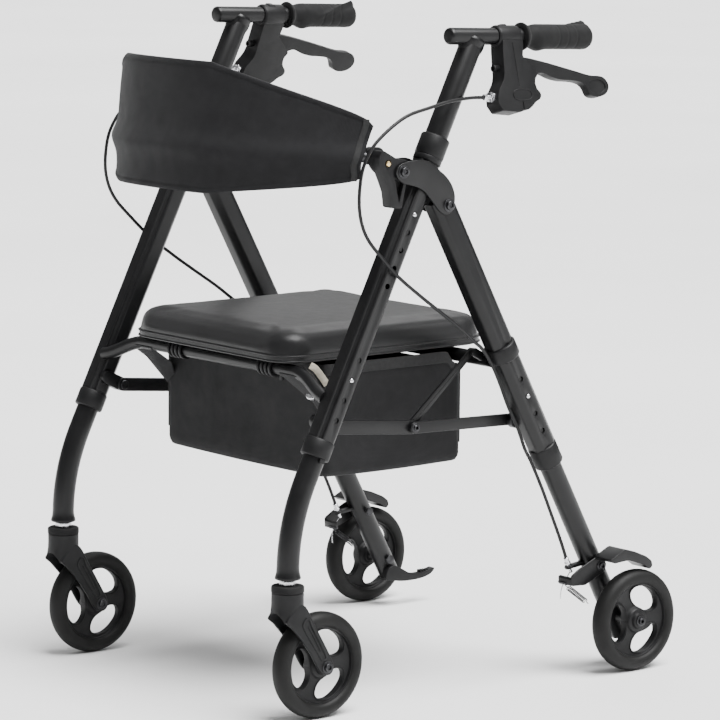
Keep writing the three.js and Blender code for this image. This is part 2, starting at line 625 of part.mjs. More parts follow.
function casterFork() {
  const blade = polygon([[-638, 170], [-643.5, 160], [-632, 146], [-594, 96], [-580, 72], [-573, 65],
    [-564, 63.5], [-556.5, 68], [-554, 77], [-558, 86], [-580, 124], [-598.5, 156], [-602, 170]]);
  const vertical = (radius, from, to, sides) => new THREE.CylinderGeometry(radius, radius, to - from, sides)
    .rotateX(Math.PI / 2).translate(CASTER_X, CASTER_Y, (from + to) / 2);
  const body = vertical(23, 151, CASTER_TOP_Z - 9, 20);
  const added = [
    vertical(23.35, CASTER_TOP_Z - 9.5, CASTER_TOP_Z, 20),
    vertical(13, CASTER_TOP_Z - 1, 204.5, 6),
    vertical(6, 200, LOWER_LEG_END_Z + 26, 12),
    plate(blade, CASTER_X + 17.5, CASTER_X + 22.5),
    plate(blade, CASTER_X - 22.5, CASTER_X - 17.5),
    pinX([FRONT_AXLE_Y, WHEEL_R], AXLE_R, CASTER_X - 24, CASTER_X + 24, 16),
    pinX([FRONT_AXLE_Y, WHEEL_R], 7.5, CASTER_X + 22, CASTER_X + 26, 6),
    pinX([FRONT_AXLE_Y, WHEEL_R], 7.5, CASTER_X - 26, CASTER_X - 22, 6),
  ];
  return build(body, added).translate(-CASTER_X, 0, 0);
}

// ---------------------------------------------------------------- cross tubes and spreaders
function frontCrossTube() {
  const [y, z] = CROSS_FRONT;
  const curve = smoothCurve([[-264, -551, 454], [-240, -547, 461], [-214, -541, 472],
    [-194, y, z - 0.5], [-182, y, z], [0, y, z], [182, y, z], [194, y, z - 0.5],
    [214, -541, 472], [240, -547, 461], [264, -551, 454]]);
  const legRoom = (side) => prism(oval([FRONT_LEG_HALF[0] + GAP, FRONT_LEG_HALF[1] + GAP]), -640, -300)
    .rotateX(FRONT_TILT).translate(side * SIDE_X, HANDLE_TOP[0], HANDLE_TOP[1]);
  return build(sweep(circle(CROSS_FRONT_R, 10), curve, 22), [], [legRoom(1), legRoom(-1)]);
}

// Rear seat tube with the clamp rings that hold it to both rear legs, and the link lugs.
function rearCrossTube() {
  const [y, z] = CROSS_REAR;
  const tube = rod([-262, y, z], [262, y, z], CROSS_REAR_R, 12);
  const added = [];
  const removed = [];
  for (const side of [1, -1]) {
    const onLeg = (geometry) => geometry.rotateX(REAR_TILT)
      .translate(side * SIDE_X, FOLD_PIVOT[0], FOLD_PIVOT[1]);
    const span = ([a, b]) => (side > 0 ? [a, b] : [-b, -a]);
    added.push(onLeg(prism(circle(24, 16), -264, -240)));
    added.push(plate(barOutline(CROSS_REAR, LINK_TOP, 6), ...span([LINK_X[1] + GAP, 246])));
    added.push(pinX(LINK_TOP, 2.8, ...span([LINK_X[0] - 1, 244]), 8));
    added.push(pinX(LINK_TOP, 5.5, ...span([LINK_X[0] - 2.5, LINK_X[0] - GAP]), 8));
    removed.push(onLeg(prism(oval([REAR_LEG_HALF[0] + GAP, REAR_LEG_HALF[1] + GAP]), -300, -200)));
  }
  return build(tube, added, removed);
}

function spreader(from, to, [x0, x1], radiusFrom, radiusTo, headAtTo) {
  const bar = plate(barOutline(from, to, radiusFrom, radiusTo), x0, x1);
  return build(bar, headAtTo, [pinX(from, 4.1, x0 - 5, x1 + 5, 8)]).translate(-SIDE_X, 0, 0);
}

// ---------------------------------------------------------------- seat and bag
function roundedRectangle(halfWidth, yFront, yRear, radius) {
  const shape = new THREE.Shape();
  shape.moveTo(-halfWidth + radius, yFront);
  shape.lineTo(halfWidth - radius, yFront);
  shape.absarc(halfWidth - radius, yFront + radius, radius, -Math.PI / 2, 0);
  shape.absarc(halfWidth - radius, yRear - radius, radius, 0, Math.PI / 2);
  shape.absarc(-halfWidth + radius, yRear - radius, radius, Math.PI / 2, Math.PI);
  shape.absarc(-halfWidth + radius, yFront + radius, radius, Math.PI, Math.PI * 1.5);
  return shape;
}

function seatPad() {
  const outline = roundedRectangle(SEAT_HALF_WIDTH, SEAT_FRONT_Y, SEAT_REAR_Y, SEAT_CORNER);
  return prism(outline, SEAT_BOTTOM_Z, SEAT_TOP_Z, 10);
}

// Seat board with the clips that snap round the front cross tube.
function seatPan() {
  const thickness = 2.5;
  const top = SEAT_BOTTOM_Z - GAP;
  const edge = 8;
  const board = prism(
    roundedRectangle(SEAT_HALF_WIDTH - edge, SEAT_FRONT_Y + edge, SEAT_REAR_Y - edge, SEAT_CORNER - edge),
    top - thickness,
    top,
  );
  const [y, z] = CROSS_FRONT;
  const added = [];
  const removed = [];
  for (const side of [1, -1]) {
    for (const [x0, x1] of [[98, 110], [130, 142]]) {
      const from = side > 0 ? x0 : -x1;
      const to = side > 0 ? x1 : -x0;
      added.push(pinX([y, z], CROSS_FRONT_R + 3.8, from, to, 10));
      const neck = polygon([[y - 12, z + 3], [y + 12, z + 3], [y + 12, top - 1], [y - 12, top - 1]]);
      added.push(plate(neck, from, to));
      removed.push(pinX([y, z], CROSS_FRONT_R + 1, from - 1, to + 1, 10));
    }
  }
  return build(board, added, removed);
}

function bag() {
  const wall = 3;
  const outer = prism(roundedRectangle(BAG_HALF_WIDTH, BAG_FRONT_Y, BAG_REAR_Y, 24), BAG_BOTTOM_Z, BAG_TOP_Z);
  const inner = prism(
    roundedRectangle(BAG_HALF_WIDTH - wall, BAG_FRONT_Y + wall, BAG_REAR_Y - wall, 24 - wall),
    BAG_BOTTOM_Z + wall,
    BAG_TOP_Z + 1,
  );
  const notchOutline = polygon([
    [BAG_REAR_Y - 16, BAG_REAR_TOP_Z],
    [BAG_REAR_Y + 1, BAG_REAR_TOP_Z],
    [BAG_REAR_Y + 1, BAG_TOP_Z + 1],
    [BAG_REAR_Y - 16, BAG_TOP_Z + 1],
  ]);
  const notch = plate(notchOutline, -BAG_HALF_WIDTH - 1, BAG_HALF_WIDTH + 1);
  return build(outer, [], [inner, notch]);
}

// ---------------------------------------------------------------- cables
const UPPER_CABLE_ROUTE = [
  [296.5, -293.6, 866.4], [297, -319, 867], [298, -357, 864], [299, -394, 857], [300, -432, 849],
  [301, -459, 837], [301, -486, 819], [301, -504, 801], [301, -518, 774], [301, -523, 735],
  [300, -518, 704], [298, -504, 678], [296, -479, 652], [295, -459, 633], [294, -439, 616],
  [293, -400, 588], [291, -361, 562], [288, -322, 536], [285, -293, 514], [282, -276, 502],
];
const LOWER_CABLE_ROUTE = [
  [277, -252, 475], [276, -238, 451], [276, -220, 413], [276, -203, 383], [276, -194, 364],
  [276, -186, 346], [276, -173, 325], [275, -151, 285], [273, -131, 246], [272, -112, 207],
  [271.5, -101, 182], [271.5, -98.3, 174.8],
];

function cable(route, steps) {
  const shifted = route.map(([x, y, z]) => [x - SIDE_X, y, z]);
  return sweep(circle(CABLE_R, 8), smoothCurve(shifted), steps);
}

// ---------------------------------------------------------------- assembly
addPair('handle_upright', handleUpright(), 'frame_black', FRONT_AXIS_PLACE);
const gripZ = HANDLEBAR_REF_Z - HANDLEBAR_DROP * (GRIP_FRONT_Y - HANDLEBAR_REF_Y);
addPair('grip', grip(), 'grip_rubber', { y: GRIP_FRONT_Y, z: gripZ });
const brakePlace = { y: HANDLEBAR_REF_Y, z: HANDLEBAR_REF_Z };
addPair('brake_housing', brakeHousing(), 'black_plastic', brakePlace);
addPair('brake_lever', brakeLever(), 'black_plastic', brakePlace);
addPair('handle_button', snapButton(HANDLE_HOLE_S, 10.4, 19.6), 'button_silver', FRONT_AXIS_PLACE);

addPair('front_leg', frontLeg(), 'frame_black', FRONT_AXIS_PLACE);
addPair('upright_collar', collar(155.5, 182.5, 21, FRONT_LEG_HALF, FRONT_LEG_TOP_S - GAP, 190, 17.2),
  'black_plastic', FRONT_AXIS_PLACE);
addPair('front_leg_collar', collar(618, 645, 21.2, FRONT_LEG_HALF, 600, FRONT_LEG_BOTTOM_S + GAP, 16.6),
  'black_plastic', FRONT_AXIS_PLACE);
addPair('front_lower_leg', frontLowerLeg(), 'frame_black');
addPair('front_leg_button', snapButton(FRONT_LEG_HOLE_S + LEG_HOLE_PITCH, 9.6, 19.6), 'button_silver',
  FRONT_AXIS_PLACE);
addPair('caster_fork', casterFork(), 'black_plastic', { x: CASTER_X });
addPair('front_wheel', wheel(), 'wheel_black', { x: CASTER_X, y: FRONT_AXLE_Y, z: WHEEL_R });

addPair('hinge_plate', hingePlate(), 'frame_black');
addPair('backrest_bracket', backrestBracket(), 'black_plastic');
addPair('backrest_button', pinX(BACKREST_BUTTON, 4.2, 284.5 - SIDE_X, 291.5 - SIDE_X, 16), 'button_brass');
addMesh('backrest_tube', hoop(BACKREST_TUBE_R), 'steel_dark');
addMesh('backrest_strap', backrestStrap(), 'backrest_fabric');

addPair('rear_leg', rearLeg(), 'frame_black', REAR_AXIS_PLACE);
addPair('rear_leg_collar', collar(418, 452, 21.6, REAR_LEG_HALF, 400, REAR_LEG_BOTTOM_T + GAP, 16.6),
  'black_plastic', REAR_AXIS_PLACE);
addPair('rear_lower_leg', rearLowerLeg(), 'frame_black', REAR_AXIS_PLACE);
addPair('rear_leg_button', snapButton(REAR_LEG_HOLE_T + LEG_HOLE_PITCH, 9.6, 19.8), 'button_silver',
  REAR_AXIS_PLACE);
addPair('brake_arm', brakeArm(), 'frame_black');
addPair('rear_wheel', wheel(), 'wheel_black', { x: REAR_WHEEL_X, z: WHEEL_R });

addMesh('front_cross_tube', frontCrossTube(), 'frame_black');
addMesh('rear_cross_tube', rearCrossTube(), 'frame_black');
addPair('spreader_front', spreader(SPREADER_FRONT, SPREADER_MIDDLE, FRONT_BAR_X, 10, 10,
  [pinX(SPREADER_MIDDLE, 6, FRONT_BAR_X[0] - 2, FRONT_BAR_X[0] + 1, 12)]), 'frame_black');
addPair('spreader_rear', spreader(SPREADER_REAR, SPREADER_MIDDLE, REAR_BAR_X, 8.5, 8.5,
  [pinX(SPREADER_MIDDLE, 6, REAR_BAR_X[1] - 1, REAR_BAR_X[1] + 2, 12)]), 'frame_black');
addPair('fold_link', build(plate(barOutline(LINK_TOP, SPREADER_MIDDLE, 5, 6), ...LINK_X), [],
  [pinX(LINK_TOP, 3.3, 230, 245, 8)]).translate(-SIDE_X, 0, 0), 'steel_dark');

addMesh('seat_pad', seatPad(), 'seat_vinyl');
addMesh('seat_pan', seatPan(), 'black_plastic');
addMesh('bag', bag(), 'bag_nylon');

addPair('brake_cable_upper', cable(UPPER_CABLE_ROUTE, 28), 'cable_black');
addPair('brake_cable_lower', cable(LOWER_CABLE_ROUTE, 14), 'cable_black');

export default walker;
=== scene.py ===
# Rollator walker: the looks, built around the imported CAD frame.
# Shapes are drawn in millimetres in the walker's own side frame (x out to the user's left, y to the
# rear from the rear axle, z up) and are turned into metres in the row frame when a mesh is made.
# Side pieces are drawn once, for the left, and mirrored for the right.
import json
import math

import bmesh
import bpy
from mathutils import Matrix, Vector, noise


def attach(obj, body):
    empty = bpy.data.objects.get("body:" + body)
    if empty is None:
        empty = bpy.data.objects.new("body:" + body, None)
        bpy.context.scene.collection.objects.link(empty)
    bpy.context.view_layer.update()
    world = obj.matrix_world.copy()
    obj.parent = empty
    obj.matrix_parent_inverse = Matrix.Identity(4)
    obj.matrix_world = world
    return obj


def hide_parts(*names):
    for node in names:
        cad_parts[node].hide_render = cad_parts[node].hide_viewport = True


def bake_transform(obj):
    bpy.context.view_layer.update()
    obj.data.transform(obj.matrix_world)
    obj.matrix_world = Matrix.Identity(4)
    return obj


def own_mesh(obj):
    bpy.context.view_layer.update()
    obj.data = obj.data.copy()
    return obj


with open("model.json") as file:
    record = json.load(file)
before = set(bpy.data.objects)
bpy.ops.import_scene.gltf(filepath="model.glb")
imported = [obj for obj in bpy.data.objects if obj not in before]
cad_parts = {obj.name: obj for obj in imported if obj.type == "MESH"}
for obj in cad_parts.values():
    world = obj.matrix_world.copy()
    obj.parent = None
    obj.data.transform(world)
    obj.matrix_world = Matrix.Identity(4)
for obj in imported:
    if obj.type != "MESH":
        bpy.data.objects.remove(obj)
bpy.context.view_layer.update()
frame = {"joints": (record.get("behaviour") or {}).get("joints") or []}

MM = 0.001
X_AXIS = (1, 0, 0)
Z_AXIS = (0, 0, 1)
SIDES = ((1, "left"), (-1, "right"))
FOLD_PIVOT = (-352.0, 716.0)
fold_joint = next(j for j in frame["joints"] if j["name"] == "frame_fold")
SHIFT_Y = fold_joint["pos_m"][1] - FOLD_PIVOT[0] * MM

# ------------ driving dimensions, mm
SIDE = 271.5
HANDLE_TOP = (-290.6, 951.6)
FRONT_TILT = -0.45867
REAR_TILT = 0.503
WHEEL_R = 76.2
REAR_WHEEL_X = 314.5
CASTER_X = 271.3
CASTER_Y = -621.4
FRONT_AXLE_Y = -567.0
BAR_DROP = 0.042
BAR_R = 12.2
BAR_REF = (-336.6, 953.6)
BAR_FRONT_Y = -340.0
GRIP_FRONT_Y = -205.0
HOUSING_ROLL = 0.26878
HANDLE_HOLE_S = 273.8
HANDLE_HOLE_PITCH = 27.4
LEG_HOLE_PITCH = 30.3
FRONT_LEG_HOLE_S = 496.0
REAR_LEG_HOLE_T = 299.6
BRAKE_PIVOT_T = 635.2
LOWER_TUBE_R = 16.1
CROSS_FRONT = (-537.0, 480.0)
CROSS_REAR = (-235.0, 479.0)
SPREADER_FRONT = (-531.0, 408.0)
SPREADER_MIDDLE = (-374.0, 393.0)
SPREADER_REAR = (-190.0, 388.0)
LINK_TOP = (-258.0, 492.0)
SEAT_HALF_WIDTH = 189.0
SEAT_FRONT_Y = -565.0
SEAT_REAR_Y = -176.0
SEAT_CORNER = 46.0
BAG_HALF_WIDTH = 189.0
BAG_FRONT_Y = -493.0
BAG_REAR_Y = -231.0
BAG_BOTTOM_Z = 323.0
BAG_TOP_Z = 486.5
BAG_REAR_TOP_Z = 465.0
BACKREST_END = (262.0, -455.0, 785.0)
BACKREST_DEPTH = 199.0
BACKREST_TILT = 0.078
WINDOW_TURN = 1.08
UPRIGHT_RADII = (16.1, 16.7)
BORE = 0.9
LEVER_PIN = (112, 58)
CABLE_ENTRY = (88.6, -1.5)
CABLE_R = 2.5
FORK_R = 22.9
FORK_GAP = 17.6
BRACKET_SOCKET = (-462.7, 789)
BRACKET_BUTTON = (-461.5, 781)
BINDING_X = 243.5
STRAP_HALF_WIDTH = 248
SEAT_BOARD_Z = (491.2, 493.6)
WELT_Z = (502.4, 494.8)
VOXEL = 0.006
BAG_INSET = 1.5
BAG_CORNER = 12


# ------------ materials
class Nodes:
    """A node material, with short ways to add textures in object space (metres)."""

    def __init__(self, name, color, roughness, metallic=0.0):
        self.material = bpy.data.materials.new(name)
        self.material.use_nodes = True
        self.tree = self.material.node_tree
        self.shader = self.tree.nodes["Principled BSDF"]
        self.shader.inputs["Base Color"].default_value = (*color, 1)
        self.shader.inputs["Roughness"].default_value = roughness
        self.shader.inputs["Metallic"].default_value = metallic
        self.place = self.node("TexCoord").outputs["Object"]

    def node(self, kind, **inputs):
        """A new node; an input takes a value or the socket that feeds it."""
        node = self.tree.nodes.new("ShaderNode" + kind)
        for name, value in inputs.items():
            self.feed(node.inputs[name.replace("_", " ")], value)
        return node

    def feed(self, socket, value):
        if isinstance(value, bpy.types.NodeSocket):
            self.tree.links.new(value, socket)
        else:
            socket.default_value = value

    def noise(self, scale, detail):
        return self.node("TexNoise", Scale=scale, Detail=detail, Vector=self.place).outputs["Fac"]

    def voronoi(self, scale, feature="F1"):
        node = self.node("TexVoronoi", Scale=scale, Vector=self.place)
        node.feature = feature
        return node.outputs["Distance"]

    def wave(self, scale, direction, distortion):
        node = self.node("TexWave", Scale=scale, Distortion=distortion, Vector=self.place)
        node.bands_direction = direction
        return node.outputs["Fac"]

    def math(self, operation, a, b):
        node = self.node("Math")
        node.operation = operation
        self.feed(node.inputs[0], a)
        self.feed(node.inputs[1], b)
        return node.outputs[0]

    def colour(self, fac, low, high, start=0.3, end=0.7):
        node = self.node("ValToRGB", Fac=fac)
        for element, position, tone in zip(node.color_ramp.elements, (start, end), (low, high)):
            element.position = position
            element.color = (*tone, 1)
        self.feed(self.shader.inputs["Base Color"], node.outputs["Color"])

    def roughness(self, fac, low, high):
        node = self.node("MapRange", Value=fac, To_Min=low, To_Max=high)
        self.feed(self.shader.inputs["Roughness"], node.outputs["Result"])

    def bump(self, height, strength, distance):
        node = self.node("Bump", Strength=strength, Distance=distance, Height=height)
        self.feed(self.shader.inputs["Normal"], node.outputs["Normal"])


SOCKETS = {"specular": "Specular IOR Level", "sheen": "Sheen Weight", "sheen_roughness": "Sheen Roughness"}


def dull(name, base, rough, tint, dark, light, wear=None, **extra):
    """A surface whose colour and roughness drift; tint is noise, wear is noise and its two limits."""
    m = Nodes(name, base, rough)
    m.colour(tint(m) if callable(tint) else m.noise(*tint), dark, light, *extra.pop("span", (0.3, 0.7)))
    if wear:
        m.roughness(m.noise(*wear[:2]), *wear[2:])
    for socket, value in extra.items():
        m.shader.inputs[SOCKETS[socket]].default_value = value
    return m


def powder_coat():
    m = dull("powder_coat", (0.004, 0.004, 0.0045), 0.38, (26, 5), (0.0030, 0.0030, 0.0034),
             (0.0058, 0.0058, 0.0062), (60, 6, 0.30, 0.44), specular=0.3)
    m.bump(m.noise(1500, 3), 0.10, 0.0002)
    return m.material


def moulded_plastic():
    m = dull("moulded_plastic", (0.005, 0.005, 0.0055), 0.48, (40, 5), (0.0038, 0.0038, 0.0042),
             (0.0075, 0.0075, 0.0080), (90, 6, 0.40, 0.58), specular=0.24)
    m.bump(m.math("ADD", m.voronoi(1900), m.noise(700, 3)), 0.16, 0.0002)
    return m.material


def grip_rubber():
    m = dull("grip_rubber", (0.005, 0.005, 0.005), 0.72, (55, 5), (0.0034, 0.0034, 0.0038),
             (0.0080, 0.0080, 0.0082), (120, 5, 0.60, 0.82), sheen=0.05, specular=0.18)
    m.bump(m.noise(1100, 5), 0.22, 0.0003)
    return m.material


def seat_vinyl():
    m = dull("seat_vinyl", (0.005, 0.005, 0.0055), 0.36, (18, 4), (0.0040, 0.0040, 0.0044),
             (0.0072, 0.0072, 0.0078), (70, 5, 0.30, 0.42), sheen=0.08, specular=0.3)
    creases = m.math("MINIMUM", m.voronoi(520, "DISTANCE_TO_EDGE"), 0.16)
    m.bump(m.math("ADD", creases, m.math("MULTIPLY", m.noise(900, 4), 0.12)), 0.5, 0.0006)
    return m.material


def woven(m, weave, drift):
    """A weave's own shading, mixed with slow noise."""
    return m.math("ADD", m.math("MULTIPLY", weave, 0.5), m.math("MULTIPLY", m.noise(drift, 5), 0.6))


def knit_fabric():
    def loops(m):
        return m.math("MULTIPLY", m.wave(330, "X", 0.6), m.wave(250, "Z", 0.6))

    m = dull("knit_fabric", (0.007, 0.007, 0.0075), 0.86, lambda m: woven(m, loops(m), 30),
             (0.0038, 0.0038, 0.0044), (0.0120, 0.0120, 0.0132), (80, 5, 0.74, 0.93), span=(0.15, 0.85),
             sheen=0.1, sheen_roughness=0.45, specular=0.22)
    m.bump(m.math("ADD", loops(m), m.math("MULTIPLY", m.noise(1400, 3), 0.5)), 0.45, 0.0004)
    return m.material


def bag_nylon():
    def weave(m):
        across = m.math("MAXIMUM", m.wave(420, "X", 0.2), m.wave(420, "Y", 0.2))
        return m.math("MULTIPLY", across, m.wave(420, "Z", 0.2))

    m = dull("bag_nylon", (0.006, 0.006, 0.0065), 0.75, lambda m: woven(m, weave(m), 14),
             (0.0036, 0.0036, 0.0042), (0.0110, 0.0110, 0.0118), (50, 5, 0.62, 0.85), span=(0.15, 0.85),
             sheen=0.05, specular=0.22)
    m.bump(m.math("ADD", weave(m), m.math("MULTIPLY", m.noise(1300, 3), 0.4)), 0.4, 0.0004)
    return m.material


def binding_tape():
    m = dull("binding_tape", (0.005, 0.005, 0.005), 0.8, (200, 4), (0.0032, 0.0032, 0.0034),
             (0.0085, 0.0085, 0.0090))
    m.bump(m.math("ADD", m.wave(520, "DIAGONAL", 0.3), m.noise(900, 3)), 0.35, 0.0004)
    return m.material


def cream_webbing():
    m = dull("cream_webbing", (0.62, 0.57, 0.46), 0.85, (160, 4), (0.52, 0.47, 0.37), (0.68, 0.64, 0.53))
    m.bump(m.math("ADD", m.wave(480, "Z", 0.2), m.noise(900, 3)), 0.4, 0.0004)
    return m.material


def tyre_rubber():
    m = dull("tyre_rubber", (0.005, 0.005, 0.005), 0.6, (38, 6), (0.0036, 0.0036, 0.0036),
             (0.0075, 0.0075, 0.0073), (60, 5, 0.48, 0.68), specular=0.22)
    m.bump(m.noise(900, 5), 0.25, 0.0004)
    return m.material


def metal(name, low, high, rough):
    m = Nodes(name, high, rough, 1.0)
    m.colour(m.noise(120, 5), low, high)
    m.roughness(m.noise(300, 5), rough * 0.8, rough * 1.35)
    m.bump(m.noise(900, 3), 0.06, 0.0002)
    return m.material


def cable_jacket():
    m = dull("cable_jacket", (0.005, 0.005, 0.0055), 0.4, (60, 4), (0.0040, 0.0040, 0.0044),
             (0.0078, 0.0078, 0.0084), (140, 4, 0.32, 0.5), specular=0.25)
    m.bump(m.noise(1200, 3), 0.08, 0.0002)
    return m.material


MATERIALS = {
    "frame": (powder_coat(), "frame_black"),
    "plastic": (moulded_plastic(), "black_plastic"),
    "rubber": (grip_rubber(), "grip_rubber"),
    "vinyl": (seat_vinyl(), "seat_vinyl"),
    "knit": (knit_fabric(), "backrest_fabric"),
    "nylon": (bag_nylon(), "bag_nylon"),
    "tape": (binding_tape(), "bag_nylon"),
    "cream": (cream_webbing(), "bag_nylon"),
    "tyre": (tyre_rubber(), "wheel_black"),
    "zinc": (metal("bright_zinc", (0.62, 0.62, 0.64), (0.80, 0.80, 0.82), 0.24), "button_silver"),
    "brass": (metal("polished_brass", (0.70, 0.50, 0.22), (0.86, 0.66, 0.36), 0.2), "button_brass"),
    "oxide": (metal("black_oxide", (0.03, 0.03, 0.032), (0.07, 0.07, 0.073), 0.36), "steel_dark"),
    "cable": (cable_jacket(), "cable_black"),
}


# ------------ shapes: (points in mm, faces)
def turns(count, closed=False):
    """Evenly spaced angles around a circle; closed repeats the first at the end."""
    return [2 * math.pi * k / count for k in range(count + closed)]


def clamped(value, low=0.0, high=1.0):
    return max(low, min(high, value))


def bell(distance, width):
    return math.exp(-(distance / width) ** 2)


def signed_power(value, power):
    return math.copysign(abs(value) ** power, value)


def rod(radius, length, start=0):
    """The profile of a plain round bar, for lathe."""
    return [(0, start), (radius, start), (radius, length), (0, length)]


def joined(*shapes):
    points, faces = [], []
    for more_points, more_faces in shapes:
        start = len(points)
        points += [tuple(p) for p in more_points]
        faces += [tuple(i + start for i in face) for face in more_faces]
    return points, faces


def skin(rings, caps=True, closed=False):
    """Quads between rows of rings that have the same number of points."""
    count = len(rings[0])
    points = [tuple(p) for ring in rings for p in ring]
    faces = []
    for r in range(len(rings) - (0 if closed else 1)):
        a, b = r * count, ((r + 1) % len(rings)) * count
        faces += [(a + i, a + (i + 1) % count, b + (i + 1) % count, b + i) for i in range(count)]
    if caps and not closed:
        faces.append(tuple(reversed(range(count))))
        faces.append(tuple(range(len(points) - count, len(points))))
    return points, faces


def sweep(path, section, up=X_AXIS, scale=None, caps=True):
    """A closed section (a, b) carried along a path; a lies along up, b is square to it and the path."""
    line = [Vector(p) for p in path]
    rings = []
    for i, point in enumerate(line):
        tangent = (line[min(i + 1, len(line) - 1)] - line[max(i - 1, 0)]).normalized()
        a = Vector(up) - tangent * Vector(up).dot(tangent)
        a.normalize()
        b = tangent.cross(a)
        size = scale[i] if scale else 1.0
        rings.append([point + a * (u * size) + b * (v * size) for u, v in section])
    return skin(rings, caps)


def lathe(profile, origin, axis, steps=40, closed=False):
    """A profile of (radius, distance along axis) turned about an axis through origin."""
    along = Vector(axis).normalized()
    side = along.orthogonal().normalized()
    other = along.cross(side)
    rings = []
    for radius, distance in profile:
        centre = Vector(origin) + along * distance
        rings.append([centre + (side * math.cos(t) + other * math.sin(t)) * max(radius, 0.01)
                      for t in turns(steps)])
    return skin(rings, not closed, closed)


def oval(across, along, sides):
    return [(across * math.cos(t), along * math.sin(t)) for t in turns(sides)]


def circle(radius, sides=28):
    return oval(radius, radius, sides)


def bend(start, corner, end, u):
    """The point at u, from 0 to 1, of the curve from start to end that its corner pulls."""
    return (1 - u) ** 2 * start + 2 * u * (1 - u) * corner + u * u * end


def rounded(points, radius, steps=4):
    """The polygon with its corners rounded."""
    result = []
    for i, corner in enumerate(points):
        p = Vector(corner)
        before = Vector(points[i - 1]) - p
        after = Vector(points[(i + 1) % len(points)]) - p
        reach = min(radius, before.length * 0.45, after.length * 0.45)
        start = p + before.normalized() * reach
        end = p + after.normalized() * reach
        for k in range(steps + 1):
            result.append(tuple(bend(start, p, end, k / steps)))
    return result


def catmull(points, steps, closed=False):
    """A smooth line through the points."""
    line = [Vector(p) for p in points]
    count = len(line)
    result = []
    for i in range(count if closed else count - 1):
        near = [k % count if closed else clamped(k, 0, count - 1) for k in range(i - 1, i + 3)]
        p0, p1, p2, p3 = (line[k] for k in near)
        for k in range(steps):
            u = k / steps
            result.append(0.5 * (2 * p1 + (p2 - p0) * u + (2 * p0 - 5 * p1 + 4 * p2 - p3) * u * u
                                 + (3 * p1 - p0 - 3 * p2 + p3) * u ** 3))
    if not closed:
        result.append(line[-1])
    return result


def smooth_outline(points, steps):
    """A closed smooth outline through flat points."""
    return [(p[0], p[1]) for p in catmull([(a, b, 0) for a, b in points], steps, closed=True)]


def plate(outline, x0, x1):
    """An outline in (y, z) standing across x."""
    return skin([[(x, y, z) for y, z in outline] for x in (x0, x1)])


def moved(shape, transform):
    return [tuple(transform(*p)) for p in shape[0]], shape[1]


def bar_outline(a, b, radius_a, radius_b=None, steps=12):
    """A flat bar from a to b with round ends."""
    radius_b = radius_b or radius_a
    heading = math.atan2(b[1] - a[1], b[0] - a[0])
    ends = [(a, radius_a, heading + math.pi / 2), (b, radius_b, heading - math.pi / 2)]
    angles = [(c, r, start + math.pi * k / steps) for c, r, start in ends for k in range(steps + 1)]
    return [(c[0] + r * math.cos(t), c[1] + r * math.sin(t)) for c, r, t in angles]


def disc_x(centre, radius, x0, x1, edge=0.6, steps=28):
    """A round boss along x with softened rims."""
    length = x1 - x0
    profile = [(0, 0), (radius - edge, 0), (radius, edge), (radius, length - edge), (radius - edge, length),
               (0, length)]
    return lathe(profile, (x0, *centre), X_AXIS, steps)


def socket_bolt(centre, x_face, outward=1, radius=6.5, height=5.0):
    """A cap screw standing out of a face, with a hexagon socket in its head and a washer under it."""
    place, axis = (x_face, *centre), (outward, 0, 0)
    rim, key, key_foot = radius * 0.55, radius * 0.5, height - 2.6
    washer = [(0, 0), (radius + 2.4, 0), (radius + 2.6, 0.4), (radius + 2.4, 1.2), (0, 1.2)]
    head = [(0, 1.2), (radius, 1.2), (radius, height - 0.8), (radius - 0.8, height), (rim, height)]
    socket = [(rim, height), (key, height - 0.2), (key, key_foot), (0, key_foot)]
    head_points, head_faces = lathe(head, place, axis, 28)
    key_points, key_faces = lathe(socket, place, axis, 6)
    open_head, open_key = head_faces[:-1], key_faces[:-2] + key_faces[-1:]
    return joined(lathe(washer, place, axis, 28), (head_points, open_head), (key_points, open_key))


# ------------ from shapes to objects
def to_row(point):
    return (point[0] * MM, point[1] * MM + SHIFT_Y, point[2] * MM)


def raw_object(name, shape):
    mesh = bpy.data.meshes.new(name)
    mesh.from_pydata([to_row(p) for p in shape[0]], [], shape[1])
    work = bmesh.new()
    work.from_mesh(mesh)
    bmesh.ops.remove_doubles(work, verts=work.verts, dist=1e-6)
    bmesh.ops.dissolve_degenerate(work, edges=work.edges, dist=1e-7)
    bmesh.ops.recalc_face_normals(work, faces=work.faces)
    work.to_mesh(mesh)
    work.free()
    obj = bpy.data.objects.new(name, mesh)
    bpy.context.scene.collection.objects.link(obj)
    return obj


def baked(obj):
    """The object's mesh with its modifiers applied; the object itself is removed."""
    bpy.context.view_layer.update()
    graph = bpy.context.evaluated_depsgraph_get()
    mesh = bpy.data.meshes.new_from_object(obj.evaluated_get(graph))
    bpy.data.objects.remove(obj)
    return mesh


def model(shape, bevel=0.0, segments=2, cuts=(), sharp=38):
    """A finished mesh in the row frame: shape, holes cut, edges softened."""
    obj = raw_object("piece", shape)
    cutters = [raw_object("cut", cut) for cut in cuts]
    for cutter in cutters:
        modifier = obj.modifiers.new("cut", "BOOLEAN")
        modifier.operation = "DIFFERENCE"
        modifier.solver = "EXACT"
        modifier.object = cutter
    if bevel:
        modifier = obj.modifiers.new("bevel", "BEVEL")
        modifier.width = bevel * MM
        modifier.segments = segments
        modifier.limit_method = "ANGLE"
        modifier.angle_limit = math.radians(32)
        modifier.use_clamp_overlap = True
    mesh = baked(obj)
    for cutter in cutters:
        bpy.data.objects.remove(cutter)
    mesh.shade_smooth()
    mesh.set_sharp_from_angle(angle=math.radians(sharp))
    return mesh


def mirrored(mesh):
    copy = mesh.copy()
    copy.transform(Matrix.Diagonal((-1, 1, 1, 1)))
    copy.flip_normals()
    return copy


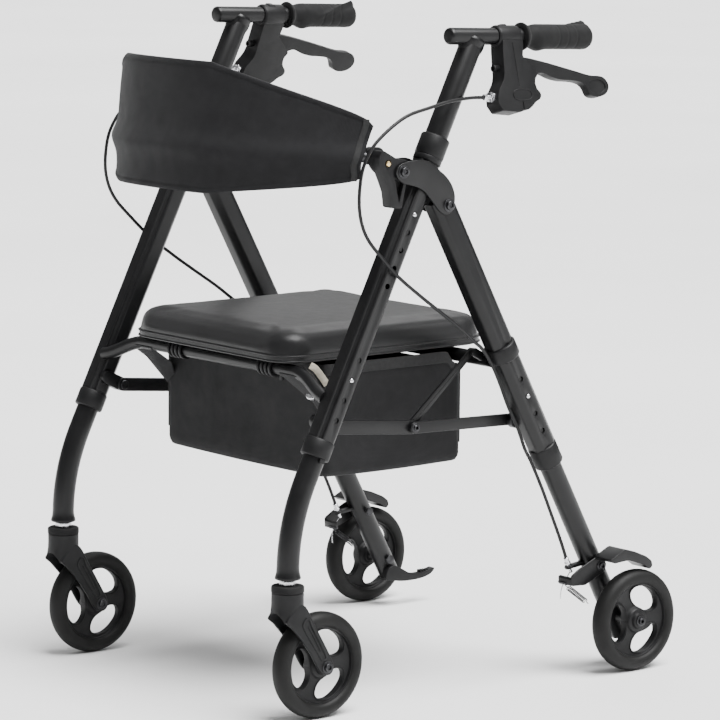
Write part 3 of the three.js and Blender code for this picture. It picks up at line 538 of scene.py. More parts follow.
def put(name, mesh, look, body=None, replaces=()):
    material, slot = MATERIALS[look]
    mesh.materials.clear()
    mesh.materials.append(material)
    mesh.name = name
    obj = bpy.data.objects.new(name, mesh)
    bpy.context.scene.collection.objects.link(obj)
    if body:
        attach(obj, body)
    if replaces:
        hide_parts(*replaces)
    return obj


def put_pair(name, mesh, look, body, replaces=()):
    """The left piece and its mirror image. {} in a body or node name stands for the side."""
    for sign, side in SIDES:
        nodes = [n.format(side) for n in replaces]
        put(f"{name}_{side}", mesh if sign > 0 else mirrored(mesh), look, body.format(side), nodes)


# ------------ places on the leg axes
def on_axis(top, tilt, distance, across=0.0, rear=0.0):
    return (SIDE + across, top[0] + distance * math.sin(tilt) + rear * math.cos(tilt),
            top[1] - distance * math.cos(tilt) + rear * math.sin(tilt))


def on_front(s, across=0.0, rear=0.0):
    return on_axis(HANDLE_TOP, FRONT_TILT, s, across, rear)


def on_rear(t, across=0.0, rear=0.0):
    return on_axis(FOLD_PIVOT, REAR_TILT, t, across, rear)


FRONT_DOWN = (0, math.sin(FRONT_TILT), -math.cos(FRONT_TILT))
REAR_DOWN = (0, math.sin(REAR_TILT), -math.cos(REAR_TILT))


def button_holes(place, first, pitch, count):
    return [lathe(rod(4.1, 12), place(first + k * pitch, 10), X_AXIS, 24) for k in range(count)]


def collar_shape(place, direction, top, bottom, radius, bore):
    """A moulded collar with chamfered rims and a shallow step below its top."""
    length = bottom - top
    profile = [(bore, 0), (radius - 2.4, 0), (radius - 1.0, 0.8), (radius, 2.4), (radius, length - 2.2),
               (radius - 0.9, length - 0.6), (radius - 2.2, length), (bore, length)]
    return lathe(profile, place(top), direction, 56, closed=True)


def snap_button(place, distance, height):
    profile = [(0, 0), (3.4, 0), (3.4, height - 2.2), (2.9, height - 1.0), (1.7, height - 0.2), (0, height)]
    return lathe(profile, place(distance, 13), X_AXIS, 24)


def hexagon(radius):
    return [(radius * math.cos(math.pi * k / 3), radius * math.sin(math.pi * k / 3)) for k in range(6)]


def leg_section(half_x, half_y, chamfer, flute=0.0):
    """Flat-sided tube with slanted corners; a flute runs down each front corner when it has a depth."""
    cx, cy = half_x - chamfer, half_y - chamfer
    flat = [(half_x, -cy), (half_x, cy)]
    dip = flute / math.sqrt(2)
    groove = [(half_x - share * chamfer - depth, cy + share * chamfer - depth)
              for share, depth in ((0.22, 0), (0.30, dip), (0.70, dip), (0.78, 0))]
    right = flat + (groove if flute else []) + [(cx, half_y)]
    left = [(-x, y) for x, y in reversed(right)]
    return rounded(right + left + [(-cx, -half_y), (cx, -half_y)], 2.6, 4)


def hollow(outer, path):
    """A tube with a wall: the outer section and its bore, joined at both ends."""
    inner = [(x * BORE, y * BORE) for x, y in outer]
    out_points, out_faces = sweep(path, outer, caps=False)
    in_points, in_faces = sweep(path, inner, caps=False)
    shift, count, last = len(out_points), len(outer), len(path) - 1
    rims = []
    for ring in (0, last):
        for i in range(count):
            a, b = ring * count + i, ring * count + (i + 1) % count
            rims.append((a, b, b + shift, a + shift))
    faces = out_faces + [tuple(i + shift for i in reversed(f)) for f in in_faces] + rims
    return out_points + in_points, faces


# ------------ camera, light and floor
def camera():
    """The camera solved from the photo: its direction, roll, distance and long lens."""
    yaw, pitch, roll = 0.884624, 0.148414, 0.0093789
    place = (4.75736, -3.879766, 1.37125)
    back = Vector((math.sin(yaw) * math.cos(pitch), -math.cos(yaw) * math.cos(pitch), math.sin(pitch)))
    right = (-back).cross(Vector(Z_AXIS)).normalized()
    up = right.cross(-back)
    c, s = math.cos(roll), math.sin(roll)
    across, upward = right * c + up * s, up * c - right * s
    data = bpy.data.cameras.new("camera")
    data.lens = 208.455
    data.sensor_width = 36.0
    data.clip_end = 200.0
    obj = bpy.data.objects.new("camera", data)
    turn = Matrix((across, upward, back)).transposed().to_4x4()
    obj.matrix_world = Matrix.Translation(place) @ turn
    bpy.context.scene.collection.objects.link(obj)
    bpy.context.scene.camera = obj


def light(name, place, size, power, aim=(0, 0, 0.45)):
    data = bpy.data.lights.new(name, "AREA")
    data.shape = "RECTANGLE"
    data.size, data.size_y = size
    data.energy = power
    obj = bpy.data.objects.new(name, data)
    obj.location = place
    obj.rotation_euler = (Vector(aim) - Vector(place)).to_track_quat("-Z", "Y").to_euler()
    bpy.context.scene.collection.objects.link(obj)


def studio():
    """White surroundings brighter from above, two soft fills, a wide overhead sun and a pale floor."""
    world = bpy.data.worlds.new("studio")
    bpy.context.scene.world = world
    world.use_nodes = True
    tree = world.node_tree
    background = tree.nodes["Background"]
    background.inputs["Color"].default_value = (1, 1, 1, 1)
    height = tree.nodes.new("ShaderNodeSeparateXYZ")
    direction = tree.nodes.new("ShaderNodeTexCoord").outputs["Generated"]
    tree.links.new(direction, height.inputs[0])
    glow = tree.nodes.new("ShaderNodeMapRange")
    glow.inputs["To Min"].default_value = 0.05
    glow.inputs["To Max"].default_value = 0.7
    tree.links.new(height.outputs["Z"], glow.inputs["Value"])
    tree.links.new(glow.outputs["Result"], background.inputs["Strength"])
    light("fill", (3.2, 1.8, 1.6), (2.2, 2.2), 26)
    light("back", (-2.4, 2.4, 2.6), (2.0, 2.0), 20)
    sun = bpy.data.lights.new("overhead", "SUN")
    sun.energy, sun.angle = 8.5, math.radians(42)
    overhead = bpy.data.objects.new("overhead", sun)
    overhead.rotation_euler = Vector((0.35, 0.12, 0.93)).to_track_quat("Z", "Y").to_euler()
    bpy.context.scene.collection.objects.link(overhead)
    mesh = bpy.data.meshes.new("floor")
    reach = 60
    corners = [(-reach, -reach, 0), (reach, -reach, 0), (reach, reach, 0), (-reach, reach, 0)]
    mesh.from_pydata(corners, [], [(0, 1, 2, 3)])
    m = Nodes("floor_paint", (0.86, 0.86, 0.86), 0.8)
    m.colour(m.noise(0.8, 3), (0.83, 0.83, 0.83), (0.88, 0.88, 0.88))
    mesh.materials.append(m.material)
    floor = bpy.data.objects.new("floor", mesh)
    bpy.context.scene.collection.objects.link(floor)


# ------------ handles
def bar_frame():
    """Axes of the brake: along the handlebar, down, and inward."""
    along = Vector((0, 1, -BAR_DROP)).normalized()
    turn = Matrix.Rotation(-HOUSING_ROLL, 3, along)
    return along, turn @ Vector((0, -BAR_DROP, -1)).normalized(), turn @ Vector((-1, 0, 0))


def on_bar(along, down, inward):
    a, d, i = bar_frame()
    return tuple(Vector((SIDE, *BAR_REF)) + a * along + d * down + i * inward)


def bar_line(y):
    return (SIDE, y, BAR_REF[1] - BAR_DROP * (y - BAR_REF[0]))


def bar_plate(outline, low, high):
    """An outline (along the handlebar, down from it) standing inward between two distances."""
    return skin([[on_bar(a, d, i) for a, d in outline] for i in (low, high)])


def handle_uprights():
    """Oval upright, the bar it carries, and the weld bead saddled round their joint."""
    tube = model(hollow(oval(*UPRIGHT_RADII, 48), [on_front(5), on_front(330)]), 0.5)
    bar_length = -81 - BAR_FRONT_Y
    bar_profile = [(0, 0), (7.4, 0), (9.8, 0.5), (11.4, 2.0), (BAR_R, 4.6), (BAR_R, bar_length),
                   (0, bar_length)]
    bar = model(lathe(bar_profile, bar_line(BAR_FRONT_Y), (0, 1, -BAR_DROP), 48))
    saddle = []
    bead = [(0.2, -3.0), (1.4, -0.6), (2.1, 1.0), (2.0, 2.8), (1.4, 5.2), (0.6, 7.8), (-0.3, 10.5)]
    for ring, (grow, lift) in enumerate(bead):
        row = []
        for t in turns(72):
            ripple = 0.2 * math.sin(t * 26 + ring * 1.3)
            x = (UPRIGHT_RADII[0] + grow + ripple * 0.4) * math.cos(t)
            rear = (UPRIGHT_RADII[1] + grow + ripple * 0.4) * math.sin(t)
            under = math.sqrt(max(0.0, BAR_R ** 2 - min(BAR_R, abs(x)) ** 2))
            row.append(on_front(5.5 + under * 0.9 + lift + ripple, x, rear))
        saddle.append(row)
    weld = model(skin(saddle, caps=False))
    put_pair("upright_tube", tube, "frame", "handle_{}", ["handle_upright_{}"])
    put_pair("handlebar", bar, "frame", "handle_{}")
    put_pair("weld_bead", weld, "frame", "handle_{}")


def grips():
    """Rubber grip: flange, waist, finger bump beneath, shallow rings, raised palm ridge and a rear lip."""
    profile = [(11.4, 0), (18.4, 0), (20.1, 1.2), (20.4, 3.2), (19.4, 5.4), (16.8, 7.6), (15.4, 10.5),
               (15.2, 14), (16.4, 19), (17.6, 24), (18.2, 30)]
    for at in (62, 79, 96):
        profile += [(18.2, at), (17.8, at + 1.2), (17.8, at + 2.8), (18.2, at + 4)]
    profile += [(18.4, 118), (17.9, 124), (15.8, 128.2), (12, 130), (5, 130.6), (0, 130.7)]
    axis = Vector((0, 1, -BAR_DROP)).normalized()
    up = Vector((0, BAR_DROP, 1)).normalized()
    side = Vector(X_AXIS)
    origin = Vector(bar_line(GRIP_FRONT_Y))
    stations = []
    for (r0, d0), (r1, d1) in zip(profile, profile[1:]):
        pieces = max(1, round((d1 - d0) / 2.2))
        stations += [(r0 + (r1 - r0) * k / pieces, d0 + (d1 - d0) * k / pieces) for k in range(pieces)]
    stations.append(profile[-1])
    rings = []
    for radius, d in stations:
        row = []
        for t in turns(64):
            outward = side * math.cos(t) + up * math.sin(t)
            extra = 0.0
            if d > 8:
                bump = bell(d - 33, 9) * max(0.0, -math.sin(t)) ** 2 * 2.6
                run = clamped((d - 50) / 76)
                ridge_at = math.radians(196 - 92 * run ** 0.8)
                ridge = bell(t - ridge_at, 0.17) * min(1, run * 4) * (2.6 + 3.0 * run)
                lip = bell(d - 123, 3.4) * max(0.0, math.sin(t)) ** 2 * 1.3
                extra = bump + ridge + lip
            row.append(origin + axis * d + outward * max(0.01, radius + extra * min(1.0, radius / 10)))
        rings.append(row)
    mesh = model(skin(rings))
    put_pair("grip_sleeve", mesh, "rubber", "handle_{}", ["grip_{}"])


def brake_housings():
    """Housing with its lever slot, clamp, rib, blank badge, hollow peg, lever pin and cable adjuster."""
    along, _, inward = bar_frame()
    outline = [(86, 8), (84, 21), (82, 42), (81, 56.5), (78, 66), (72, 74), (66, 82), (63, 92), (62, 99),
               (70, 110.5), (103.4, 113), (110, 109), (118, 109.7), (127, 104), (134, 98), (143, 94),
               (146, 88.5), (143.5, 83), (139.5, 80), (137, 72), (138, 65), (144.4, 57.6), (120, 31.8),
               (123, 17.7), (124.5, 8)]
    slot = bar_plate([(97, 30), (97, 90), (160, 90), (160, 30)], -9.5, 6.5)
    groove = bar_plate([(102.4, 12), (103.9, 12), (106.2, 76), (104.7, 76)], -17, -14.2)
    step = bar_plate([(107, 100), (110, 97), (110, 120), (108.2, 120), (108.2, 103)], -17, -13.6)
    housing = model(bar_plate(rounded(outline, 3.2, 3), -15, 12), 1.9, 3, [slot, groove, step])
    clamp_profile = [(12, 0), (13.8, 0), (15.6, 1.6), (16.2, 3.6), (16.2, 37.2), (15.6, 39.4), (13.8, 41),
                     (12, 41)]
    clamp = model(lathe(clamp_profile, on_bar(83, 0, 0), along, 56, closed=True))
    rib_outline = [(92, -14.6), (94, -17.2), (104, -17.2), (106, -14.6), (104, -12), (94, -12)]
    rib = model(bar_plate(rib_outline, -5.5, 5.5), 0.9)
    badge = [(110 + 17.5 * signed_power(math.cos(t), 0.72), 87.6 + 8 * signed_power(math.sin(t), 0.8))
             for t in turns(48, closed=True)]
    rim = model(sweep([on_bar(a, d, -15.1) for a, d in badge], circle(0.85, 10), up=inward))
    peg_profile = [(0, 3), (2.9, 3), (2.9, 0), (4.9, 0), (5.3, 0.6), (5.3, 2.2), (4.9, 2.8), (4.9, 12),
                   (0, 12)]
    peg = model(lathe(peg_profile, on_bar(72, 47, CABLE_ENTRY[1]), along, 32))
    pin = model(lathe(rod(3.5, 22), on_bar(*LEVER_PIN, -13), inward, 32))
    put_pair("housing", housing, "plastic", "handle_{}", ["brake_housing_{}"])
    for name, mesh in (("housing_clamp", clamp), ("housing_rib", rib), ("badge_rim", rim),
                       ("housing_peg", peg)):
        put_pair(name, mesh, "plastic", "handle_{}")
    put_pair("lever_pin", pin, "oxide", "handle_{}")
    barrel = [(1.8, 0), (3.9, 0), (4.4, 0.6), (4.4, 5.2), (3.5, 5.8), (3.5, 9), (6.2, 9.4), (7.0, 10),
              (7.0, 12.8), (6.2, 13.4), (3.7, 13.6), (3.7, 22), (1.8, 22)]
    adjuster = model(lathe(barrel, on_bar(47, *CABLE_ENTRY), along, 36, closed=True))
    down, side = CABLE_ENTRY
    nut = model(skin([[on_bar(a, down + u, side + v) for u, v in hexagon(7.6)] for a in (61.5, 66)]), 0.8)
    put_pair("cable_adjuster", adjuster, "zinc", "handle_{}")
    put_pair("adjuster_nut", nut, "zinc", "handle_{}")


def brake_levers():
    """Loop lever: a rounded blade that widens to a dished paddle at its end."""
    upper = [(104, 50), (110, 43), (116, 36), (122, 32), (134, 32.6), (158, 37), (180, 41.8), (200, 46.4),
             (223, 51.8), (240, 56), (254, 58.6), (268, 59.2), (278, 62), (284.6, 70), (284.5, 78),
             (278, 85.5)]
    lower = [(268, 89.4), (257, 90), (249, 88), (245, 84), (242, 76.6), (236, 70.5), (226, 67), (208, 65.2),
             (195, 64.7), (177, 61), (162, 55.2), (153, 55.4), (140, 61), (124, 69), (112, 71), (103, 66),
             (101.5, 58)]
    dish = bar_plate([(262 + u, 74.5 + v) for u, v in oval(17, 10.5, 32)], -9, -6.2)
    hole = lathe(rod(4.2, 30), on_bar(*LEVER_PIN, -15), bar_frame()[2], 28)
    mesh = model(bar_plate(smooth_outline(upper + lower, 3), -8, 5), 3.4, 4, [dish, hole])
    put_pair("lever_blade", mesh, "plastic", "lever_{}", ["brake_lever_{}"])


# ------------ front legs
def front_legs():
    """Fluted leg tube with its button holes, spreader lug and pivot, two collars and two snap buttons."""
    outer = leg_section(17.6, 18.2, 8.6, 1.2)
    holes = (button_holes(on_front, HANDLE_HOLE_S, HANDLE_HOLE_PITCH, 5)
             + button_holes(on_front, FRONT_LEG_HOLE_S, LEG_HOLE_PITCH, 4))
    leg = model(hollow(outer, [on_front(165), on_front(630)]), 0.5, 2, holes)
    lug = model(plate(bar_outline(SPREADER_FRONT, (-556, 420), 10), 246.3, 262), 0.9)
    pivot = joined(disc_x(SPREADER_FRONT, 3.6, 239, 258), disc_x(SPREADER_FRONT, 7, 238, 241.2))
    put_pair("front_leg_tube", leg, "frame", "front_frame", ["front_leg_{}"])
    put_pair("front_leg_lug", lug, "frame", "front_frame")
    put_pair("front_leg_pivot", model(pivot), "oxide", "front_frame")
    skirt = [(17.4, 0), (20.5, 0), (20.8, 0.8), (20.8, 7.2), (20.2, 8), (17.4, 8)]
    upper = model(joined(collar_shape(on_front, FRONT_DOWN, 155.5, 187.5, 21.2, 16.9),
                                  lathe(skirt, on_front(187.2), FRONT_DOWN, 56, True)))
    put_pair("upper_collar", upper, "plastic", "front_frame", ["upright_collar_{}"])
    lower = model(collar_shape(on_front, FRONT_DOWN, 618, 645, 21.2, 16.4))
    tongue_outline = [(645, -5), (651, -4), (651, 4), (645, 5)]
    tongue = model(skin([[on_front(s, x, r) for s, r in tongue_outline] for x in (18.2, 20.6)]),
                   0.6)
    put_pair("lower_collar", lower, "plastic", "front_frame", ["front_leg_collar_{}"])
    put_pair("lower_collar_tongue", tongue, "plastic", "front_frame")
    for name, body, hole in (("handle_snap", "handle_button_{}", HANDLE_HOLE_S),
                             ("front_leg_snap", "front_leg_button_{}", FRONT_LEG_HOLE_S + LEG_HOLE_PITCH)):
        put_pair(name, model(snap_button(on_front, hole, 6.6)), "zinc", body, [body])


def front_lower_legs():
    """Lower tube: down the leg axis, then bent upright over the caster, with a flared foot."""
    corner_s = (CASTER_Y - HANDLE_TOP[0]) / math.sin(FRONT_TILT)
    start, corner = Vector(on_front(corner_s - 70)), Vector(on_front(corner_s))
    end = Vector((SIDE, CASTER_Y, 216))
    line = [Vector(on_front(480)), Vector(on_front(560)), Vector(on_front(620))]
    line += [bend(start, corner, end, k / 18) for k in range(18)]
    scale = [1.0] * len(line)
    foot = ((222, 1.0), (217, 1.02), (212.5, 1.07), (209.5, 1.13), (208, 1.15), (206.6, 1.13), (206, 1.08))
    for z, size in foot:
        line.append(Vector((SIDE, CASTER_Y, z)))
        scale.append(size)
    tube = model(sweep(line, circle(LOWER_TUBE_R, 48), scale=scale))
    put_pair("front_lower_tube", tube, "frame", "front_lower_{}", ["front_lower_leg_{}"])


# ------------ wheels and casters
def wheel_window(k):
    """The outline of one of the three windows, about the axle."""
    points = []
    for t in turns(48):
        radius = 35.6 + 16.6 * signed_power(math.cos(t), 0.78)
        spread = math.radians(45) * signed_power(math.sin(t), 0.86) * (0.90 + 0.10 * radius / 50)
        angle = 2 * math.pi * k / 3 + WINDOW_TURN + spread
        points.append((radius * math.cos(angle), radius * math.sin(angle)))
    return points


def wheel_meshes(centre):
    """Tyre, dished rim with three windows, and hub face of a wheel whose middle is at centre."""
    tyre_half = [(54.6, 5.5), (55.0, 8.6), (56.6, 11.8), (59.5, 13.9), (63.4, 14.7), (67.5, 14.3),
                 (71.4, 12.2), (74.2, 8.9), (75.7, 5.0), (76.2, 1.6)]
    rim_half = [(5.4, 15.4), (10.5, 15.4), (11.4, 14.9), (12.2, 13.2), (12.8, 11.2), (16.8, 10.4),
                (18.2, 9.0), (19, 7.0), (22, 5.0), (51.0, 4.4), (53.4, 5.6), (54.4, 9.8), (55.4, 9.8),
                (55.4, 4)]
    tyre, rim = (half + [(r, -x) for r, x in reversed(half)] for half in (tyre_half, rim_half))
    middle, y, z = centre
    windows, ribs = [], []
    for k in range(3):
        outline = wheel_window(k)
        windows.append(plate([(y + u, z + v) for u, v in outline], middle - 20, middle + 20))
        for x in (middle + 4.7, middle - 4.7):
            loop = [(x, y + u, z + v) for u, v in grown(outline, 1.6)]
            ribs.append(sweep(loop + loop[:2], circle(1.15, 8), caps=False))
    tyre_mesh = model(lathe(tyre, centre, X_AXIS, 96, closed=True), sharp=50)
    rim_mesh = model(lathe(rim, centre, X_AXIS, 96, closed=True), 1.0, 3, windows)
    return tyre_mesh, rim_mesh, model(joined(*ribs))


def grown(outline, distance):
    """The outline moved outward by a distance."""
    result = []
    for i, (x, y) in enumerate(outline):
        x0, y0 = outline[i - 1]
        x1, y1 = outline[(i + 1) % len(outline)]
        length = math.hypot(x1 - x0, y1 - y0)
        result.append((x + (y1 - y0) / length * distance, y - (x1 - x0) / length * distance))
    return result


def wheels():
    for name, x, y in (("front", CASTER_X, FRONT_AXLE_Y), ("rear", REAR_WHEEL_X, 0)):
        tyre, rim, ribs = wheel_meshes((x, y, WHEEL_R))
        body = name + "_wheel_{}"
        put_pair(f"{name}_tyre", tyre, "tyre", body, [body])
        put_pair(f"{name}_rim", rim, "plastic", body)
        put_pair(f"{name}_rim_ribs", ribs, "plastic", body)


def fork_crown():
    """Round under its cap, then a chamfered box that the blades close; square is the share of box."""
    rings = []
    for z, square in ((186.9, 0.0), (186, 0.0), (178, 0.0), (172, 0.0), (166, 0.12), (160, 0.4), (154, 0.75),
                      (149, 1.0), (146, 1.0)):
        row = []
        for t in turns(64):
            c, n = math.cos(t), math.sin(t)
            box = 1 / max(abs(c), abs(n), (abs(c) + abs(n)) / 1.5)
            reach = (FORK_R - 0.8 * square) * (1 - square + square * box)
            row.append((CASTER_X + reach * c, CASTER_Y + reach * n * (1 + 0.04 * square) - 1.2 * square, z))
        rings.append(row)
    arch = lathe(rod(17, 60), (CASTER_X, CASTER_Y - 32, 143), (0, 1, 0), 40)
    room = lathe(rod(79.5, 35), (CASTER_X - 17.4, FRONT_AXLE_Y, WHEEL_R), X_AXIS, 64)
    return model(skin(rings), 0.8, 2, [room, arch])


def caster_forks():
    axle_at, stem_at = (FRONT_AXLE_Y, WHEEL_R), (CASTER_X, CASTER_Y, 0)
    blade = [(-636, 154), (-640, 149), (-638.5, 146), (-631, 140.5), (-612, 119.5), (-594, 95), (-583, 76),
             (-577, 68), (-570, 64.6), (-562, 64.4), (-556, 69), (-554.4, 77), (-558, 86.5), (-580, 124),
             (-592, 145), (-602, 163), (-608, 170), (-615, 172.5), (-622, 170), (-629, 162)]
    loop = [(-606, 151), (-611, 144), (-609, 136), (-596, 116), (-583, 96.5), (-577, 88), (-571, 89),
            (-571, 95), (-583, 117), (-596, 139), (-600, 149), (-606, 151)]
    line = [(-601.5, 139), (-590, 120), (-579.5, 101)]
    put_pair("fork_crown", fork_crown(), "plastic", "caster_{}", ["caster_fork_{}"])
    ribs, axle = [], [disc_x(axle_at, 5, CASTER_X - 24, CASTER_X + 24)]
    for name, side in (("outer", 1), ("inner", -1)):
        face = CASTER_X + side * FORK_R
        low, high = sorted((face, CASTER_X + side * FORK_GAP))
        mesh = model(plate(rounded(blade, 4, 3), low, high), 1.8, 3)
        put_pair(f"fork_{name}_blade", mesh, "plastic", "caster_{}")
        path = [(face, p[0], p[1]) for p in catmull([(a, b, 0) for a, b in loop], 4)]
        ribs += [sweep(path, circle(1.5, 8)), sweep([(face, a, b) for a, b in line], circle(1.3, 8))]
        axle.append(socket_bolt(axle_at, CASTER_X + side * 22.7, side, 6.6, 5.4))
    put_pair("fork_ribs", model(joined(*ribs)), "plastic", "caster_{}")
    cap = [(0, 187.5), (22.6, 187.5), (23.4, 188.4), (23.4, 195), (22.2, 196.6), (14, 197.2), (0, 197.2)]
    put_pair("fork_cap", model(lathe(cap, stem_at, Z_AXIS, 56)), "rubber", "caster_{}")
    nut = skin([[(CASTER_X + u, CASTER_Y + v, z) for u, v in hexagon(12.4)] for z in (197.3, 204.6)])
    put_pair("stem_nut", model(nut, 1.0, 3), "zinc", "caster_{}")
    put_pair("stem", model(lathe(rod(6, 232, 198), stem_at, Z_AXIS, 28), 0.4), "zinc", "caster_{}")
    put_pair("front_axle", model(joined(*axle), 0.4), "oxide", "caster_{}")


# ------------ hinge and backrest bracket
def hinges():
    points = [(-450, 768), (-446, 776), (-436, 781), (-418, 783), (-397.5, 783), (-382, 776.5), (-370, 767),
              (-357, 757), (-347, 745), (-341.5, 732), (-341, 721), (-343.5, 711), (-350, 704.5), (-358, 703),
              (-368, 708), (-378, 718), (-388, 729), (-397, 738), (-410, 745), (-424.5, 749), (-437, 752.5),
              (-446, 759)]
    outline = smooth_outline(points, 3)
    plates = joined(plate(outline, 289.9, 293.4), plate(outline, 249.6, 253.2))
    put_pair("hinge_plates", model(plates, 0.9, 3), "frame", "front_frame", ["hinge_plate_{}"])
    bolts = []
    for at in ((-436.5, 768.5), FOLD_PIVOT):
        bolts += [disc_x(at, 4.7, 246.5, 292), socket_bolt(at, 293.3, 1, 7.0, 5.8),
                  disc_x(at, 8, 245, 249.8, 0.8, 6)]
    put_pair("hinge_bolts", model(joined(*bolts), 0.35), "oxide", "front_frame")


def backrest_brackets():
    """Arm with its pocket, the block that holds the hoop, a ribbed ferrule and a brass button."""
    head = [(-471, 800.5), (-446, 787), (-427.5, 785), (-424, 778)]
    heel = [(-476.5, 777), (-478, 792)]
    outline = rounded([*head, (-426, 760), (-431, 740), (-436, 716), (-456, 718), (-459, 740), (-467, 758),
                       *heel], 4, 3)
    block = rounded([*head, (-425, 769), (-446, 768), (-466, 766), *heel], 4, 3)
    pocket = plate(rounded([(-449, 758), (-432.5, 753), (-441, 724)], 1.6, 3), 281, 292)
    room = moved(lathe(rod(18.6, 700, 100), (0, 0, 0), (0, 0, -1), 40), lambda x, y, z: on_front(-z, x, y))
    socket = lathe(rod(8.7, 34), (250, *BRACKET_SOCKET), X_AXIS, 36)
    recess = lathe(rod(5.6, 8), (286.5, *BRACKET_BUTTON), X_AXIS, 32)
    arm = model(plate(outline, 271.5, 289.3), 1.5, 3, [pocket, room, recess])
    sleeve = model(plate(block, 264, 272.5), 1.5, 3, [room, socket])
    put_pair("bracket", arm, "plastic", "front_frame", ["backrest_bracket_{}"])
    put_pair("bracket_block", sleeve, "plastic", "front_frame")
    ferrule = [(8.6, 0), (11.4, 0), (12.8, 1.2), (12.8, 3.2), (12.2, 3.6), (12.2, 4.4), (12.8, 4.8),
               (12.8, 8.6), (12.2, 9.0), (12.2, 9.8), (12.8, 10.2), (12.8, 16.0), (13.6, 16.6), (13.6, 20),
               (8.6, 20)]
    mesh = model(lathe(ferrule, (246.5, *BRACKET_SOCKET), X_AXIS, 44, True))
    put_pair("bracket_ferrule", mesh, "plastic", "front_frame")
    button = [(0, 0), (4.2, 0), (4.2, 5.4), (3.7, 6.4), (2.4, 6.9), (0, 7)]
    mesh = model(lathe(button, (284.5, *BRACKET_BUTTON), X_AXIS, 28))
    put_pair("bracket_button", mesh, "brass", "backrest_button_{}", ["backrest_button_{}"])


# ------------ backrest
def backrest_point(x, rise=0.0, forward=0.0):
    """A point of the hoop's bow, raised along the tilted strap and pushed forward."""
    bow = BACKREST_DEPTH * (1 - abs(x / BACKREST_END[0]) ** 2.5) + forward
    c, s = math.cos(BACKREST_TILT), math.sin(BACKREST_TILT)
    return (x, BACKREST_END[1] - bow * c + rise * s, BACKREST_END[2] + bow * s + rise * c)


def backrest_edges(x):
    """Top and bottom of the strap, along its rise, at a station x."""
    ease = clamped((BACKREST_END[0] - 14 - abs(x)) / 150) ** 0.6
    return 46 + 73.5 * ease, -29 - 36.9 * ease


def backrest_surface(x, rise, offset):
    """A point of the strap at a rise, offset outward (to the front) from its middle sheet."""
    slope = 2.5 * BACKREST_DEPTH * abs(x) ** 1.5 / BACKREST_END[0] ** 2.5 * math.copysign(1, x)
    length = math.hypot(1, slope)
    return (x + offset * slope / length, *backrest_point(x, rise, offset / length)[1:])


def strap_reach(x, rise):
    """The strap's ends lean outward towards the top."""
    end = clamped((abs(x) - 170) / 78) ** 2
    return x + math.copysign(8.5 * clamped((rise + 12) / 60, -0.2) * end, x)


def over_hoop(rise):
    """How far the hoop inside pushes the cloth out."""
    return 8.4 * bell(rise + 2, 17)


def strap_thickness(rise, share, width):
    """Half thickness: a bound edge with its stitch line, then quilting that fills out, then the hoop."""
    from_edge = min(share, 1 - share) * width
    bound = 3.6 if from_edge < 6.4 else 2.9
    if from_edge < 0.6:
        bound = 2.4
    if 6.2 < from_edge < 8.4:
        bound = 2.2
    return bound + 1.6 * (1 - bell(max(0.0, from_edge - 8), 26)) + over_hoop(rise)


def strap_rings():
    count = 120
    shares = [0.0, 0.012, 0.028, 0.04, 0.052, 0.07, *(0.07 + 0.86 * k / 26 for k in range(1, 26)),
              0.93, 0.948, 0.96, 0.972, 0.988, 1.0]
    for t in (2 * k / count - 1 for k in range(count + 1)):
        x = math.copysign(STRAP_HALF_WIDTH * abs(t) ** 0.85, t)
        top, bottom = backrest_edges(x)
        width = top - bottom
        settled = min(1, (STRAP_HALF_WIDTH - abs(x)) / 40)
        row = []
        for sign in (1, -1):
            for share in (shares if sign > 0 else reversed(shares)):
                rise = top - width * share
                wave = 1.1 * noise.noise(Vector((x * 0.012, rise * 0.02, 1.7)))
                wave += 0.5 * noise.noise(Vector((x * 0.05, rise * 0.03, 4.1)))
                offset = sign * strap_thickness(rise, share, width) + wave * settled
                row.append(backrest_surface(strap_reach(x, rise), rise, offset))
        yield row


def end_binding(sign):
    """The folded tape that closes one end of the strap."""
    top, bottom = backrest_edges(sign * 244)
    rows = []
    for share in (k / 24 for k in range(25)):
        rise = top - (top - bottom) * share
        edge = strap_reach(sign * BINDING_X, rise)
        base = Vector(backrest_surface(edge, rise, 0))
        out = Vector(backrest_surface(edge, rise, 1)) - base
        along = (Vector(backrest_surface(edge + sign * 2.5, rise, 0)) - base).normalized()
        reach = over_hoop(rise) + 3.4
        section = [(-4.2, 0), (-4.4, 1.2), (4.2, 1.2), (5.0, 0), (4.2, -1.2), (-4.4, -1.2)]
        rows.append([base + along * u + out * (math.copysign(reach + abs(v), v) if v else 0) for u,
                     v in section])
    return model(skin(rows), 0.6, 2)


def backrest():
    strap = model(skin(list(strap_rings())), sharp=60)
    strap = put("backrest_pad", strap, "knit", "front_frame", ["backrest_strap"])
    line = [backrest_point(math.copysign(243 * abs(t) ** 0.8, t)) for t in (i / 30 - 1 for i in range(61))]
    hoop = [(x, *BRACKET_SOCKET) for x in (-279, -258)] + line + [(x, *BRACKET_SOCKET) for x in (258, 279)]
    tube = model(sweep(catmull(hoop, 2), circle(8, 24), up=Z_AXIS))
    put("backrest_hoop", tube, "oxide", "front_frame", ["backrest_tube"])
    for sign, label in SIDES:
        put(f"backrest_end_binding_{label}", end_binding(sign), "tape", "front_frame")


